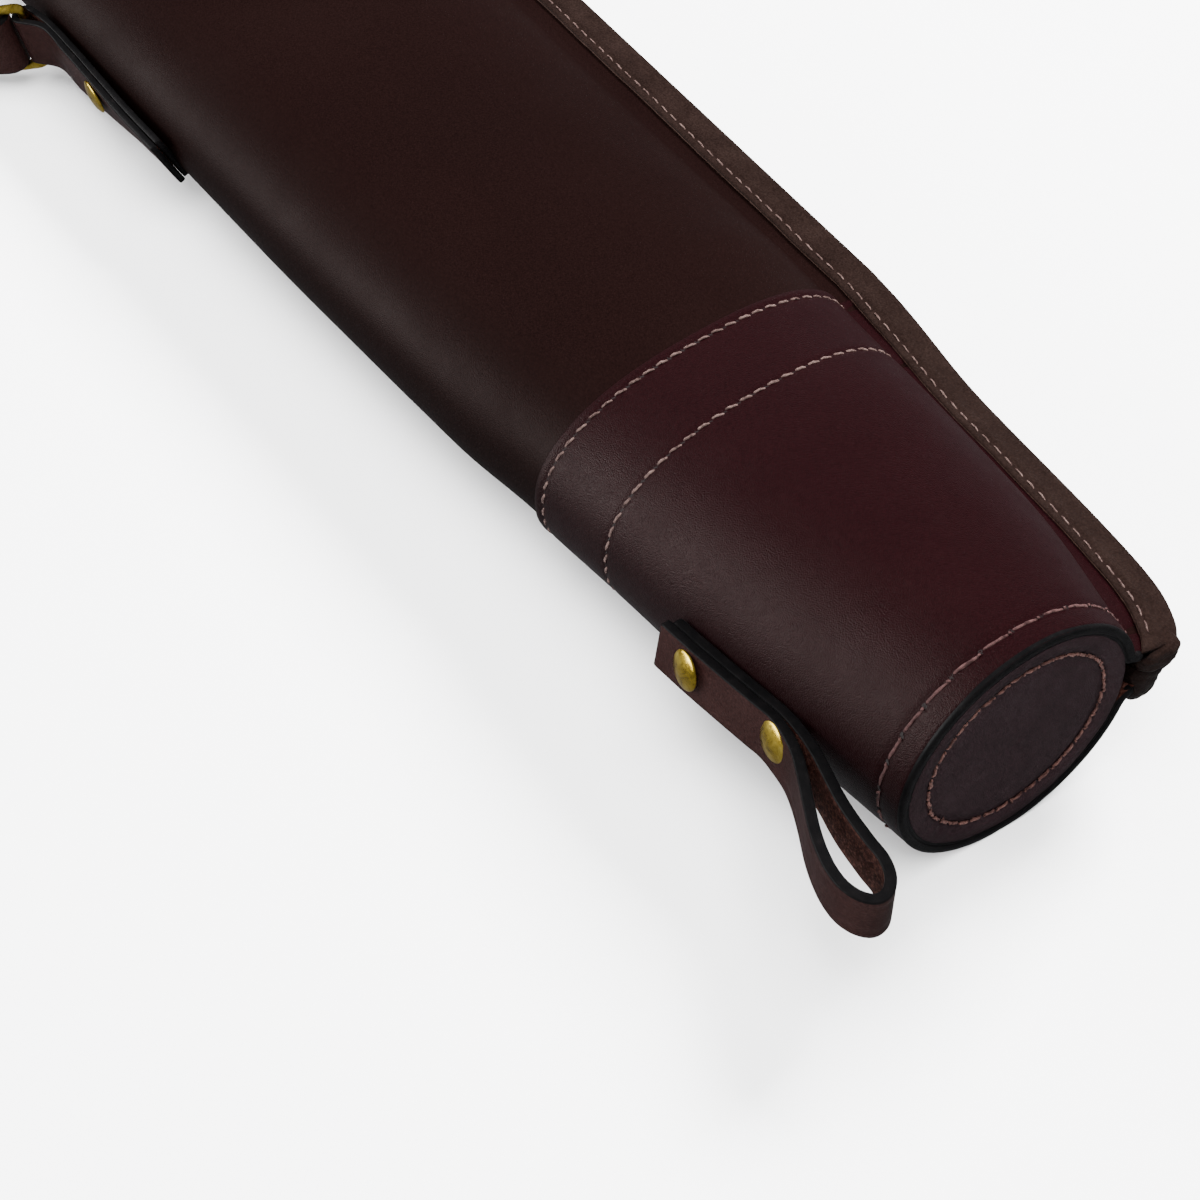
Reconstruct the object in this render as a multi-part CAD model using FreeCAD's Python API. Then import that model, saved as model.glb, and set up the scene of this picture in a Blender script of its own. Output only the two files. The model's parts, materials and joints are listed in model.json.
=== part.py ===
import FreeCAD, Part
import os
import math
from FreeCAD import Vector

# Long leather slip case, lying flat on its broad side.
# Construction frame: s runs back from the tip face towards the open mouth, y runs across
# (fold at -y, zip seam at +y) and z is up from the surface the case lies on.
# Row frame: X points to the tip, the origin is at the middle of the underside.

# ---------------------------------------------------------------- driving dimensions (mm)
CASE_LEN = 1200.0          # tip face to the mouth of the body tube
X_TIP = 592.335            # row X of the tip face
Y_MID = 70.8               # added to construction y to reach row Y

T_BODY = 2.2               # body leather
T_CAP = 1.6                # tip cap leather over the body leather
T_LINING = 3.0             # fleece lining
T_BIND = 1.2               # outer leaf of the edge binding
T_BIND_IN = 1.0            # leaf turned inside the lip
BIND_W = 13.5              # width of the binding's outer leaf
BIND_IN_W = 9.0            # width of the leaf turned inside
CAP_LEN = 147.0            # length of the tip cap along the fold

# section tables: distance from the tip, value
T_HEIGHT = [(0, 78.8), (50, 75.0), (100, 71.0), (145, 65.0), (200, 60.5), (300, 57.5), (450, 57.0), (800, 60.0), (1200, 62.0)]
T_FOLD = [(0, -39.4), (25, -42.5), (82, -50.0), (117, -52.5), (148, -55.0), (186, -57.8), (275, -63.0), (350, -66.0), (450, -70.0), (700, -83.5), (1200, -110.8)]
T_SEAM = [(0, 54.5), (5, 58.5), (19, 63.8), (43, 67.0), (67, 69.0), (91, 70.8), (111, 72.5), (134, 75.6), (164, 79.0)]
SEAM_STRAIGHT = 164.0      # from here to the mouth the zip edge is one straight line
SEAM_SLOPE = 0.014
T_RIGHT = [(0, 39.4), (50, 51.0), (100, 56.0), (145, 60.5), (164, 62.8)]
LIP = 16.2                 # width of the flat lip in the straight stretch
T_POWER = [(0, 2.0), (60, 2.15), (150, 2.35), (450, 2.4), (1000, 2.7), (1200, 3.4)]
T_SEAM_Z = [(0, 39.4), (60, 37.0), (145, 33.0), (166, 32.0)]
SEAM_Z_SLOPE = -0.001
T_LIP_OUT = [(0, 3.8), (95, 4.4), (125, 6.2), (152, 8.0), (1200, 8.0)]
LIP_ROOT = 9.2             # half height of the lips where they leave the tube

ZIP_S0 = 168.0             # zip chain, tip end
ZIP_S1 = 1186.0            # zip chain, mouth end
SLIDER_S = 1172.0          # slider at rest, zip closed
ROW_GAP = 0.4              # half the gap between the two rows of teeth
ROW_H = 2.7                # height of one row
CHAIN_T = 2.6              # thickness of the chain

RIVET_R = 6.1              # head radius of the brass studs
STRAP_T = 3.1
HANG_W = 16.0
HANG_Z = 35.0
TAB_W = 20.0
TAB_T = 2.3
TAB_Z = 23.5
TILT = 12.0                # the ring tabs follow the fold where it turns under
SNUG = 0.35
LOOP_SLACK = 1.6           # room between a ring and the sling loop round it
SLING_W = 22.0
SLING_T = 2.6
WIRE_R = 1.75              # ring wire
RING_LEN = 11.2            # bar to bar
RING_HALF = 13.0           # half height of the ring
FRONT_BAR = (438.0, -75.4) # s, y of the front ring's bar
REAR_BAR = (1052.0, -109.6)
FLAP_T = 2.5
FLAP_S = 1203.0            # inner face of the flap's end wall
COVER_S = 1078.0           # free edge of the flap's cover
COVER_Z = 62.9
STUD_S = 1032.0
FLAP_Y0, FLAP_Y1 = -82.0, 44.0
OUT = "parts"
FLAT = 0.3                 # the leather lies flat where it rests: depth taken off the round underside
SHELL_GAP = 0.15           # clearance between nested layers


# ---------------------------------------------------------------- helpers
def pchip(table, x):
    """Monotone cubic through a table, linear beyond its ends."""
    n = len(table)
    xs = [p[0] for p in table]
    ys = [p[1] for p in table]
    if x <= xs[0]:
        return ys[0]
    if x >= xs[-1]:
        return ys[-1]
    h = [xs[i + 1] - xs[i] for i in range(n - 1)]
    d = [(ys[i + 1] - ys[i]) / h[i] for i in range(n - 1)]
    m = [0.0] * n
    m[0], m[-1] = d[0], d[-1]
    for i in range(1, n - 1):
        if d[i - 1] * d[i] <= 0:
            m[i] = 0.0
        else:
            w1, w2 = 2 * h[i] + h[i - 1], h[i] + 2 * h[i - 1]
            m[i] = (w1 + w2) / (w1 / d[i - 1] + w2 / d[i])
    for i in range(n - 1):
        if xs[i] <= x <= xs[i + 1]:
            t = (x - xs[i]) / h[i]
            return (ys[i] * (1 + 2 * t) * (1 - t) ** 2 + h[i] * m[i] * t * (1 - t) ** 2
                    + ys[i + 1] * t * t * (3 - 2 * t) + h[i] * m[i + 1] * t * t * (t - 1))
    return ys[-1]


def height(s):
    return pchip(T_HEIGHT, s)


def fold_y(s):
    return pchip(T_FOLD, s)


def seam_y(s):
    if s <= SEAM_STRAIGHT:
        return pchip(T_SEAM, s)
    return T_SEAM[-1][1] + (s - SEAM_STRAIGHT) * SEAM_SLOPE


def right_y(s):
    if s <= SEAM_STRAIGHT:
        return pchip(T_RIGHT, s)
    return seam_y(s) - LIP


def seam_z(s):
    if s <= 166:
        return pchip(T_SEAM_Z, s)
    return T_SEAM_Z[-1][1] + (s - 166) * SEAM_Z_SLOPE


def lip_out(s):
    return pchip(T_LIP_OUT, s)


def cap_under(s):
    """How far the body leather lies inside the outer surface: the cap's thickness under the cap."""
    if s <= 150:
        return T_CAP
    if s >= 190:
        return 0.0
    t = (s - 150) / 40.0
    return T_CAP * (1 - t * t * (3 - 2 * t))


def P(s, y, z):
    return Vector(X_TIP - s, y + Y_MID, z)


def tube_point(s, off, ang):
    """Point of the tube's section at station s, off inside the outer surface."""
    a = (right_y(s) - fold_y(s)) / 2 - off
    b = height(s) / 2 - off
    yc = (right_y(s) + fold_y(s)) / 2
    zc = height(s) / 2
    n = pchip(T_POWER, s)
    c, q = math.cos(ang), math.sin(ang)
    return (yc + a * math.copysign(abs(c) ** (2.0 / n), c), zc + b * math.copysign(abs(q) ** (2.0 / n), q))


def root_angle(s, off, z):
    """Angle at which the section passes height z on its seam side."""
    b = height(s) / 2 - off
    n = pchip(T_POWER, s)
    k = (z - height(s) / 2) / b
    return math.copysign(math.asin(min(1.0, abs(k)) ** (n / 2.0)), k)


def arc_points(s, off, a0, a1, n):
    """Points along the section from angle a0 to a1, spaced evenly in the section's own plane."""
    raw = [tube_point(s, off, a0 + (a1 - a0) * i / 400.0) for i in range(401)]
    d = [0.0]
    for i in range(400):
        d.append(d[-1] + math.hypot(raw[i + 1][0] - raw[i][0], raw[i + 1][1] - raw[i][1]))
    out, k = [], 0
    for i in range(n):
        want = d[-1] * i / (n - 1)
        while k < 399 and d[k + 1] < want:
            k += 1
        t = (want - d[k]) / max(1e-9, d[k + 1] - d[k])
        out.append((raw[k][0] + (raw[k + 1][0] - raw[k][0]) * t, raw[k][1] + (raw[k + 1][1] - raw[k][1]) * t))
    return out


def spline(pts):
    """Smooth curve through evenly spaced points, with the same spacing of knots in every section."""
    c = Part.BSplineCurve()
    c.interpolate(Points=pts, Parameters=[i / (len(pts) - 1.0) for i in range(len(pts))])
    return c.toShape()


def spline_run(pts, span=7):
    """The same smooth curve as a run of short edges, each with a few knots only."""
    n = len(pts) - 1
    cuts = list(range(0, n - span // 2, span)) + [n]
    out = []
    for i in range(len(cuts) - 1):
        c = Part.BSplineCurve()
        c.interpolate(Points=pts, Parameters=[k / float(n) for k in range(n + 1)])
        c.segment(cuts[i] / float(n), cuts[i + 1] / float(n))
        out.append(c.toShape())
    return out


def line(a, b):
    return Part.makeLine(a, b)


def poly_wire(pts):
    return Part.Wire([line(pts[i], pts[(i + 1) % len(pts)]) for i in range(len(pts))])


def loft(wires, ruled=True):
    sh = Part.makeLoft(wires, True, ruled)
    if sh.ShapeType != "Solid" and len(sh.Solids) == 1:
        sh = sh.Solids[0]
    if sh.Volume < 0:
        sh.reverse()
    return sh


def box(x0, x1, y0, y1, z0, z1):
    return Part.makeBox(x1 - x0, y1 - y0, z1 - z0, Vector(x0, y0, z0))


def cyl(r, p, d, h):
    return Part.makeCylinder(r, h, p, d)


def normal2(pts, i):
    """Unit normal in plan of an open path at point i."""
    a = pts[max(i - 1, 0)]
    b = pts[min(i + 1, len(pts) - 1)]
    dx, dy = b[0] - a[0], b[1] - a[1]
    l = math.hypot(dx, dy)
    return -dy / l, dx / l


def ribbon(path, t, w):
    """Strap standing on its edge along a path of (s, y, z centre): t thick in plan, w high."""
    xy = [(X_TIP - p[0], p[1] + Y_MID) for p in path]
    wires = []
    for i, (x, y) in enumerate(xy):
        nx, ny = normal2(xy, i)
        z = path[i][2]
        wires.append(poly_wire([
            Vector(x + nx * t / 2, y + ny * t / 2, z - w / 2), Vector(x + nx * t / 2, y + ny * t / 2, z + w / 2),
            Vector(x - nx * t / 2, y - ny * t / 2, z + w / 2), Vector(x - nx * t / 2, y - ny * t / 2, z - w / 2)]))
    return loft(wires)


def save(name, shape):
    sols = shape.Solids if not isinstance(shape, list) else [q for k in shape for q in k.Solids]
    sols = [q.copy() for q in sols]
    for q in sols:
        q.translate(Vector(0, 0, -FLAT))
    for q in sols:
        if not q.isValid() or q.Volume <= 0:
            print("WARNING", name, "valid", q.isValid(), "volume", q.Volume)
    out = sols[0] if len(sols) == 1 else Part.makeCompound(sols)
    out.exportStep(os.path.join(OUT, name + ".step"))
    b = out.BoundBox
    print("%-26s %2d solids %9.0f mm3  x %.1f..%.1f y %.1f..%.1f z %.1f..%.1f" % (
        name, len(sols), sum(q.Volume for q in sols), b.XMin, b.XMax, b.YMin, b.YMax, b.ZMin, b.ZMax))
    BOXES.append(b)


os.makedirs(OUT, exist_ok=True)
BOXES = []
STATIONS = [0, 5, 12, 19, 31, 43, 55, 67, 79, 91, 101, 111, 122, 134, 147, 152, 158, 164, 172, 181, 190, 210, 240, 270, 300, 340, 375, 410,
            450, 510, 575, 640, 700, 775, 850, 925, 1000, 1050, 1100, 1140, 1150, 1175, 1200]


# ---------------------------------------------------------------- body leather: one sheet folded round, with two flat lips
def lip_lines(s, off):
    """(root outer y, z), (root inner y, z), outer end y, half heights, measured from the seam's height."""
    zs = seam_z(s)
    yo = seam_y(s) - T_BIND
    au = root_angle(s, off, zs + LIP_ROOT)
    al = root_angle(s, off, zs - LIP_ROOT)
    aui = root_angle(s, off + T_BODY, zs + LIP_ROOT - T_BODY)
    ali = root_angle(s, off + T_BODY, zs - LIP_ROOT + T_BODY)
    return zs, yo, au, al, aui, ali


def flat_half(s, off):
    """Half angle of the flat that the outer line makes where it rests; a short chord where it stays clear of the surface."""
    a = (right_y(s) - fold_y(s)) / 2 - off
    b = height(s) / 2 - off
    n = pchip(T_POWER, s)
    small = math.asin((0.8 / a) ** (n / 2.0))
    k = (height(s) / 2 - FLAT) / b
    return max(small, math.acos(k ** (n / 2.0))) if k < 1 else small


def outer_edges(s, off, a0, a1):
    """Outer line from a0 round the fold to a1, with its flat on the underside."""
    d = flat_half(s, off)
    p = [P(s, y, z) for y, z in arc_points(s, off, a0, 1.5 * math.pi - d, 23)]
    q = [P(s, y, z) for y, z in arc_points(s, off, 1.5 * math.pi + d, a1, 8)]
    return spline_run(p) + [line(p[-1], q[0])] + spline_run(q), p[0], q[-1]


def true_flat(solid):
    """Make the flat on the underside of true planes."""
    faces = []
    for f in solid.Faces:
        vs = [v.Point for e in f.OuterWire.OrderedEdges for v in [e.Vertexes[0]]]
        if len(f.OuterWire.OrderedVertexes) == 4 and all(abs(v.Point.z - FLAT) < 1e-7 for v in f.OuterWire.OrderedVertexes):
            vs = [v.Point for v in f.OuterWire.OrderedVertexes]
            faces.append(Part.Face(Part.makePolygon(vs + [vs[0]])))
        else:
            faces.append(f)
    sh = Part.makeShell(faces)
    sh.sewShape()
    out = Part.makeSolid(sh if sh.ShapeType == "Shell" else sh.Shells[0])
    if out.Volume < 0:
        out.reverse()
    return out


def shell_wire(s):
    off = cap_under(s)
    zs, yo, au, al, aui, ali = lip_lines(s, off)
    ho = lip_out(s)
    edges, first, last = outer_edges(s, off, au, 2 * math.pi + al)
    inner = [P(s, y, z) for y, z in arc_points(s, off + T_BODY, aui, 2 * math.pi + ali, 29)]
    a = P(s, yo, zs + ho)
    b = P(s, yo, zs + ho - T_BODY)
    c = P(s, yo, zs - ho)
    d = P(s, yo, zs - ho + T_BODY)
    inner.reverse()
    return Part.Wire([line(a, first)] + edges + [line(last, c), line(c, d), line(d, inner[0])] + spline_run(inner) + [line(inner[-1], b), line(b, a)])


# the sheet is one piece of leather; it is kept as a row of lengths that butt together, so each stays a simple hollow shape
LENGTHS = [("body_tip_length", 0.0, 106.0), ("body_front_length", 106.0, 330.0), ("body_barrel_length", 330.0, 560.0),
           ("body_middle_length", 560.0, 790.0), ("body_butt_length", 790.0, 1010.0), ("body_mouth_length", 1010.0, 1200.0)]
GAP = 0.05
body = {}
for name, s0, s1 in LENGTHS:
    a, b = s0 + (GAP if s0 > 0 else 0), s1 - (GAP if s1 < CASE_LEN else 0)
    body[name] = true_flat(loft([shell_wire(s) for s in [a] + [q for q in STATIONS if a + 1 < q < b - 1] + [b]]))


# ---------------------------------------------------------------- sector shells: cap, lining, flap root
def sector(stations, off0, off1, a_of, n=29, flat=False):
    """Shell between two offsets of the tube. a_of(s, off) gives the two end angles."""
    wires = []
    for s in stations:
        o0, o1 = off0(s), off1(s)
        a0, a1 = a_of(s, o0)
        b0, b1 = a_of(s, o1)
        inner = [P(s, y, z) for y, z in arc_points(s, o1, b0, b1, n)]
        inner.reverse()
        if flat:
            edges, first, last = outer_edges(s, o0, a0, a1)
        else:
            outer = [P(s, y, z) for y, z in arc_points(s, o0, a0, a1, n)]
            edges, first, last = spline_run(outer), outer[0], outer[-1]
        wires.append(Part.Wire(edges + [line(last, inner[0])] + spline_run(inner) + [line(inner[-1], first)]))
    return loft(wires)


CAP_TOP = LIP_ROOT + 1.6
cap = sector([s for s in STATIONS if s <= CAP_LEN], lambda s: 0.0, lambda s: T_CAP,
             lambda s, o: (root_angle(s, o, seam_z(s) + CAP_TOP), 2 * math.pi + root_angle(s, o, seam_z(s) - CAP_TOP)), flat=True)

lining = sector([24] + [s for s in STATIONS if 31 <= s <= 1140],
                lambda s: cap_under(s) + T_BODY + SHELL_GAP, lambda s: cap_under(s) + T_BODY + SHELL_GAP + T_LINING,
                lambda s, o: (root_angle(s, o, seam_z(s) + LIP_ROOT - T_BODY), 2 * math.pi + root_angle(s, o, seam_z(s) - LIP_ROOT + T_BODY)))

flap_root = sector([1150, 1175, 1200], lambda s: T_BODY + SHELL_GAP, lambda s: T_BODY + SHELL_GAP + FLAP_T,
                   lambda s, o: (math.radians(248), math.radians(292)), n=13)


# ---------------------------------------------------------------- edge bindings, U-shaped strips over each lip
def binding_wire(s, up):
    off = cap_under(s)
    zs, yo, au, al, aui, ali = lip_lines(s, off)
    ho = lip_out(s)
    yr, zr = tube_point(s, off, au if up > 0 else al)
    yri, zri = tube_point(s, off + T_BODY, aui if up > 0 else ali)
    hr, hri = abs(zr - zs), abs(zri - zs)
    edge = seam_y(s)
    yb = max(edge - BIND_W, yr + 0.4)
    yi = max(edge - BIND_IN_W, yri + 0.5)

    def z_out(y):
        t = (y - yr) / (yo - yr)
        return hr + (ho - hr) * t + 0.04

    def z_in(y):
        t = (y - yri) / (yo - yri)
        return hri + (ho - T_BODY - hri) * t - 0.04

    pts = [(yb, z_out(yb)), (yb, z_out(yb) + T_BIND), (edge, ho + T_BIND), (edge, ho - T_BODY - T_BIND_IN),
           (yi, z_in(yi) - T_BIND_IN), (yi, z_in(yi)), (yo + 0.05, ho - T_BODY - 0.04), (yo + 0.05, ho + 0.04)]
    return poly_wire([P(s, y, zs + up * z) for y, z in pts])


bind_up = loft([binding_wire(s, 1) for s in STATIONS], True)
bind_lo = loft([binding_wire(s, -1) for s in STATIONS], True)

# ---------------------------------------------------------------- end disc, board and pad
R_IN = T_HEIGHT[0][1] / 2 - T_CAP - T_BODY
axis_x = Vector(-1, 0, 0)


def plug(s0, length, margin):
    """Round plug that fits the tube between two stations."""
    r = min(height(s0 + length), height(s0)) / 2 - T_CAP - T_BODY - margin
    return cyl(r, P(s0, 0, height(s0 + length / 2.0) / 2), axis_x, length)


disc = plug(0.6, 3.4, 0.25)
board = plug(4.0, 5.0, 0.4)
pad = plug(9.0, 14.0, 1.0)


# ---------------------------------------------------------------- zip
def zip_bar(s0, s1, pts_of):
    return loft([poly_wire([P(s, y, z) for y, z in pts_of(s)]) for s in (s0, s1)])


TAPE_TOP = 8.0 - T_BODY - T_BIND_IN


def tape_pts(s, up):
    e, zs = seam_y(s), seam_z(s)
    pts = [(e - 9, TAPE_TOP), (e - 9, TAPE_TOP - 0.8), (e - 4.3, TAPE_TOP - 0.8), (e - 4.3, ROW_GAP + ROW_H), (e - 3.5, ROW_GAP + ROW_H), (e - 3.5, TAPE_TOP)]
    return [(y, zs + up * (z - 0.05)) for y, z in pts]


def row_pts(s, up):
    e, zs = seam_y(s), seam_z(s)
    pts = [(e - 5.2, ROW_GAP), (e - 5.2 + CHAIN_T, ROW_GAP), (e - 5.2 + CHAIN_T, ROW_GAP + ROW_H - 0.1), (e - 5.2, ROW_GAP + ROW_H - 0.1)]
    return [(y, zs + up * z) for y, z in pts]


tape_up = zip_bar(ZIP_S0, 1197, lambda s: tape_pts(s, 1))
tape_lo = zip_bar(ZIP_S0, 1197, lambda s: tape_pts(s, -1))
teeth_up = zip_bar(ZIP_S0 + 4, ZIP_S1 - 2, lambda s: row_pts(s, 1))
teeth_lo = zip_bar(ZIP_S0 + 4, ZIP_S1 - 2, lambda s: row_pts(s, -1))


def stop(s, up0, up1, dy0=5.4, dy1=2.4, l=3.0):
    e, zs = seam_y(s), seam_z(s)
    a, b = P(s + l / 2, e - dy0, zs + up0), P(s - l / 2, e - dy1, zs + up1)
    return box(a.x, b.x, a.y, b.y, a.z, b.z)


bottom_stop = stop(ZIP_S0 + 2.2, -2.9, 2.9, 5.6, 2.2)
top_stops = [stop(ZIP_S1, 0.5, 2.9), stop(ZIP_S1, -2.9, -0.5)]

# slider: two plates and the thin web that runs between the rows, with a crown for the pull
e_s, z_s = seam_y(SLIDER_S), seam_z(SLIDER_S)
yaw = math.degrees(math.atan(SEAM_SLOPE))
pitch_dir = Vector(1, -SEAM_SLOPE, -SEAM_Z_SLOPE)


def slide_piece(shape):
    """Turn a piece drawn square at the slider's place along the seam's own direction."""
    o = P(SLIDER_S, e_s, z_s)
    shape.rotate(o, Vector(0, 0, 1), -yaw)
    return shape


o = P(SLIDER_S, e_s, z_s)
front_plate = box(o.x - 6, o.x + 6, o.y - 2.2, o.y - 1.1, o.z - 3.6, o.z + 3.6)
back_plate = box(o.x - 6, o.x + 6, o.y - 6.8, o.y - 5.6, o.z - 3.6, o.z + 3.6)
web = box(o.x - 5.5, o.x - 1.0, o.y - 5.6, o.y - 2.2, o.z - 0.2, o.z + 0.2)
crown = box(o.x - 4.6, o.x + 4.6, o.y - 1.1, o.y + 3.4, o.z - 1.1, o.z + 1.1)
crown = crown.cut(box(o.x - 3.2, o.x + 3.2, o.y - 0.4, o.y + 2.4, o.z - 2, o.z + 2))
slider = slide_piece(front_plate.fuse([back_plate, web, crown]).removeSplitter())
PIN_Y = 1.2
pin = cyl(0.8, Vector(o.x, o.y + PIN_Y, o.z - 3.2), Vector(0, 0, 1), 6.4)
arms = [box(o.x - 0.9, o.x + 9, o.y + PIN_Y - 0.7, o.y + PIN_Y + 0.7, o.z + k * 2.4 - 0.9, o.z + k * 2.4 + 0.9) for k in (-1, 1)]
plate = box(o.x + 6.5, o.x + 20, o.y + PIN_Y - 0.7, o.y + PIN_Y + 0.7, o.z - 3.3, o.z + 3.3)
plate = plate.cut(box(o.x + 12.0, o.x + 16.0, o.y - 1, o.y + 4, o.z - 1.8, o.z + 1.8))
puller = slide_piece(pin.fuse(arms + [plate]).removeSplitter())
thong_outer = box(o.x + 12.4, o.x + 52, o.y + PIN_Y - 2.2, o.y + PIN_Y + 2.2, o.z - 1.6, o.z + 1.6)
thong_in = box(o.x + 12.3, o.x + 20.6, o.y + PIN_Y - 0.9, o.y + PIN_Y + 0.9, o.z - 2, o.z + 2)
thong = slide_piece(thong_outer.cut(box(o.x + 14.0, o.x + 20.6, o.y + PIN_Y - 0.9, o.y + PIN_Y + 0.9, o.z - 2, o.z + 2)))
thong.translate(Vector(0, 0.0, 0))

# ---------------------------------------------------------------- hang loop on the fold near the tip
inner_leg = [(s, fold_y(s) - 1.9, HANG_Z) for s in (81, 74, 67, 60, 53, 46, 40)]
bow = [(32, -46.6), (25, -47.6), (18, -49.2), (11, -50.9), (4, -52.1), (-4, -52.9), (-11, -53.4), (-16, -55.3), (-19.2, -58.8), (-19.4, -62.2),
       (-16.6, -65.0), (-12, -66.5), (-6.5, -66.3), (0, -64.7), (7, -61.9), (14, -58.4), (21, -54.9), (27, -52.2), (33, -50.6)]
outer_leg = [(s, fold_y(s) - 5.2, HANG_Z) for s in (40, 46, 53, 60, 67, 74, 82)]
hang_path = inner_leg + [(s, y, HANG_Z) for s, y in bow] + outer_leg
hang = ribbon(hang_path, STRAP_T, HANG_W)


def rivet(s, y_face, z, reach, slope=0.0, head_r=RIVET_R):
    """Domed brass stud through the fold: head outside, post, and the shank that the washer closes on."""
    d = Vector(slope, -1, 0)
    d.normalize()
    base = P(s, y_face, z)
    rim = cyl(head_r, base, d, 0.9)
    dome = Part.makeSphere(14.5, base + d * (2.1 - 14.5)).common(cyl(head_r - 0.35, base + d * 0.9, d, 3.0))
    post = cyl(2.0, base, d * -1, reach)
    return rim.fuse([dome, post]).removeSplitter()


def washer(s, y_face, z, reach, slope=0.0, grow=0.0):
    """Washer at the far end of a post, on the post's own axis."""
    d = Vector(slope, -1, 0)
    d.normalize()
    c = P(s, y_face, z) + d * -(reach - 0.9)
    w = cyl(4.6 + grow, c + d * grow, d * -1, 0.9 + 2 * grow)
    return w if grow else w.cut(cyl(2.04, c + d * 2, d * -1, 6))


SLOPE_HANG = 0.13
hang_rivets, hang_washers, pockets = [], [], []
for s, z in ((70.0, 35.5), (37.0, 36.5)):
    face = fold_y(s) - 5.2 - STRAP_T / 2 - 0.12
    d = Vector(-SLOPE_HANG, -1, 0)
    inside = fold_y(s) + T_CAP + T_BODY + (T_LINING if s > 24 else 0) + 0.35
    hang_rivets.append(rivet(s, face, z, inside - face + 0.9, -SLOPE_HANG))
    hang_washers.append(washer(s, face, z, inside - face + 0.9, -SLOPE_HANG))
    pockets.append(washer(s, face, z, inside - face + 0.9, -SLOPE_HANG, 0.25))


# ---------------------------------------------------------------- ring tabs, rings and sling
def eye_path(bar, toward, r, lay_a, lay_b):
    """Path of a strap: in along lay_a, round a bar at radius r, and back along lay_b. Points are (s, y)."""
    ang0 = math.atan2(lay_a[-1][1] - bar[1], lay_a[-1][0] - bar[0])
    return ang0


def wrap(bar, r, dir_out, n=9):
    """Half turn of radius r round a bar, the open side facing away from dir_out. Points run from one side to the other."""
    base = math.atan2(dir_out[1], dir_out[0])
    return [(bar[0] + r * math.cos(base + math.pi / 2 - math.pi * i / (n - 1)), bar[1] + r * math.sin(base + math.pi / 2 - math.pi * i / (n - 1))) for i in range(n)]


def tab_path(bar, s_end, sgn):
    """Tab folded round a ring's bar. sgn is +1 where the bar is on the mouth side of the tab, -1 where it is on the tip side."""
    r = WIRE_R + 0.5 + TAB_T / 2
    turn = wrap(bar, r, (sgn, 0.0))           # starts on the outer (+y of base) side
    if turn[0][1] < turn[-1][1]:
        turn.reverse()                        # now from the body side to the outer side
    inner, outer = [], []
    for k in range(6):
        s = s_end + (bar[0] - sgn * 10 - s_end) * k / 5.0
        inner.append((s, fold_y(s) - 0.3 - TAB_T / 2))
        outer.append((s, fold_y(s) - 0.3 - TAB_T * 1.5 - 0.1))
    outer.reverse()
    outer[-1] = (s_end - sgn * 1.0, outer[-1][1])
    return [(s, y, TAB_Z) for s, y in inner + turn + outer]


def ring(bar, direction):
    """Rectangular ring of round wire with its bars upright; direction is the unit vector (s, y) to the far bar."""
    far = (bar[0] + direction[0] * RING_LEN, bar[1] + direction[1] * RING_LEN)
    pts = [P(bar[0], bar[1], TAB_Z - RING_HALF), P(bar[0], bar[1], TAB_Z + RING_HALF), P(far[0], far[1], TAB_Z + RING_HALF), P(far[0], far[1], TAB_Z - RING_HALF)]
    parts = []
    for i in range(4):
        a, b = pts[i], pts[(i + 1) % 4]
        parts.append(cyl(WIRE_R, a, b - a, (b - a).Length))
        parts.append(Part.makeSphere(WIRE_R, a))
    return parts[0].fuse(parts[1:]).removeSplitter(), far


TILT_AT = {"front": 395.0, "rear": 1112.0}


def tilt(shape, name):
    """Lean a piece with the fold at a ring tab."""
    s_c = TILT_AT[name]
    q = shape.copy()
    q.rotate(P(s_c, fold_y(s_c), TAB_Z), Vector(1, 0, 0), TILT)
    q.translate(Vector(0, SNUG, 0))
    return q


def tilt_point(s, y, z, name):
    yc = fold_y(TILT_AT[name])
    c, w = math.cos(math.radians(TILT)), math.sin(math.radians(TILT))
    return s, yc + (y - yc) * c - (z - TAB_Z) * w + SNUG, TAB_Z + (y - yc) * w + (z - TAB_Z) * c


DIR_F = (0.55, -math.sqrt(1 - 0.55 ** 2))
DIR_R = (-0.55, -math.sqrt(1 - 0.55 ** 2))
front_tab = ribbon(tab_path(FRONT_BAR, 350.0, 1), TAB_T, TAB_W)
rear_tab = ribbon(tab_path(REAR_BAR, 1149.0, -1), TAB_T, TAB_W)
front_ring, FAR_F = ring(FRONT_BAR, DIR_F)
rear_ring, FAR_R = ring(REAR_BAR, DIR_R)

tab_rivets, tab_washers = {}, {}
for name, s_r, slope in (("front", 395.0, -0.04), ("rear", 1112.0, -0.055)):
    face = fold_y(s_r) - 0.3 - 2 * TAB_T - 0.25
    inside = fold_y(s_r) + T_BODY + T_LINING + 0.3
    tab_rivets[name] = tilt(rivet(s_r, face, TAB_Z, inside - face + 0.9, slope), name)
    tab_washers[name] = tilt(washer(s_r, face, TAB_Z, inside - face + 0.9, slope), name)
    pockets.append(tilt(washer(s_r, face, TAB_Z, inside - face + 0.9, slope, 0.25), name))
front_tab, rear_tab = tilt(front_tab, "front"), tilt(rear_tab, "rear")
front_ring, rear_ring = tilt(front_ring, "front"), tilt(rear_ring, "rear")

# sling: a loop round each ring, then the strap on its edge down to the surface and round in one bow
LOOP_LEN = 40.0


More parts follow.
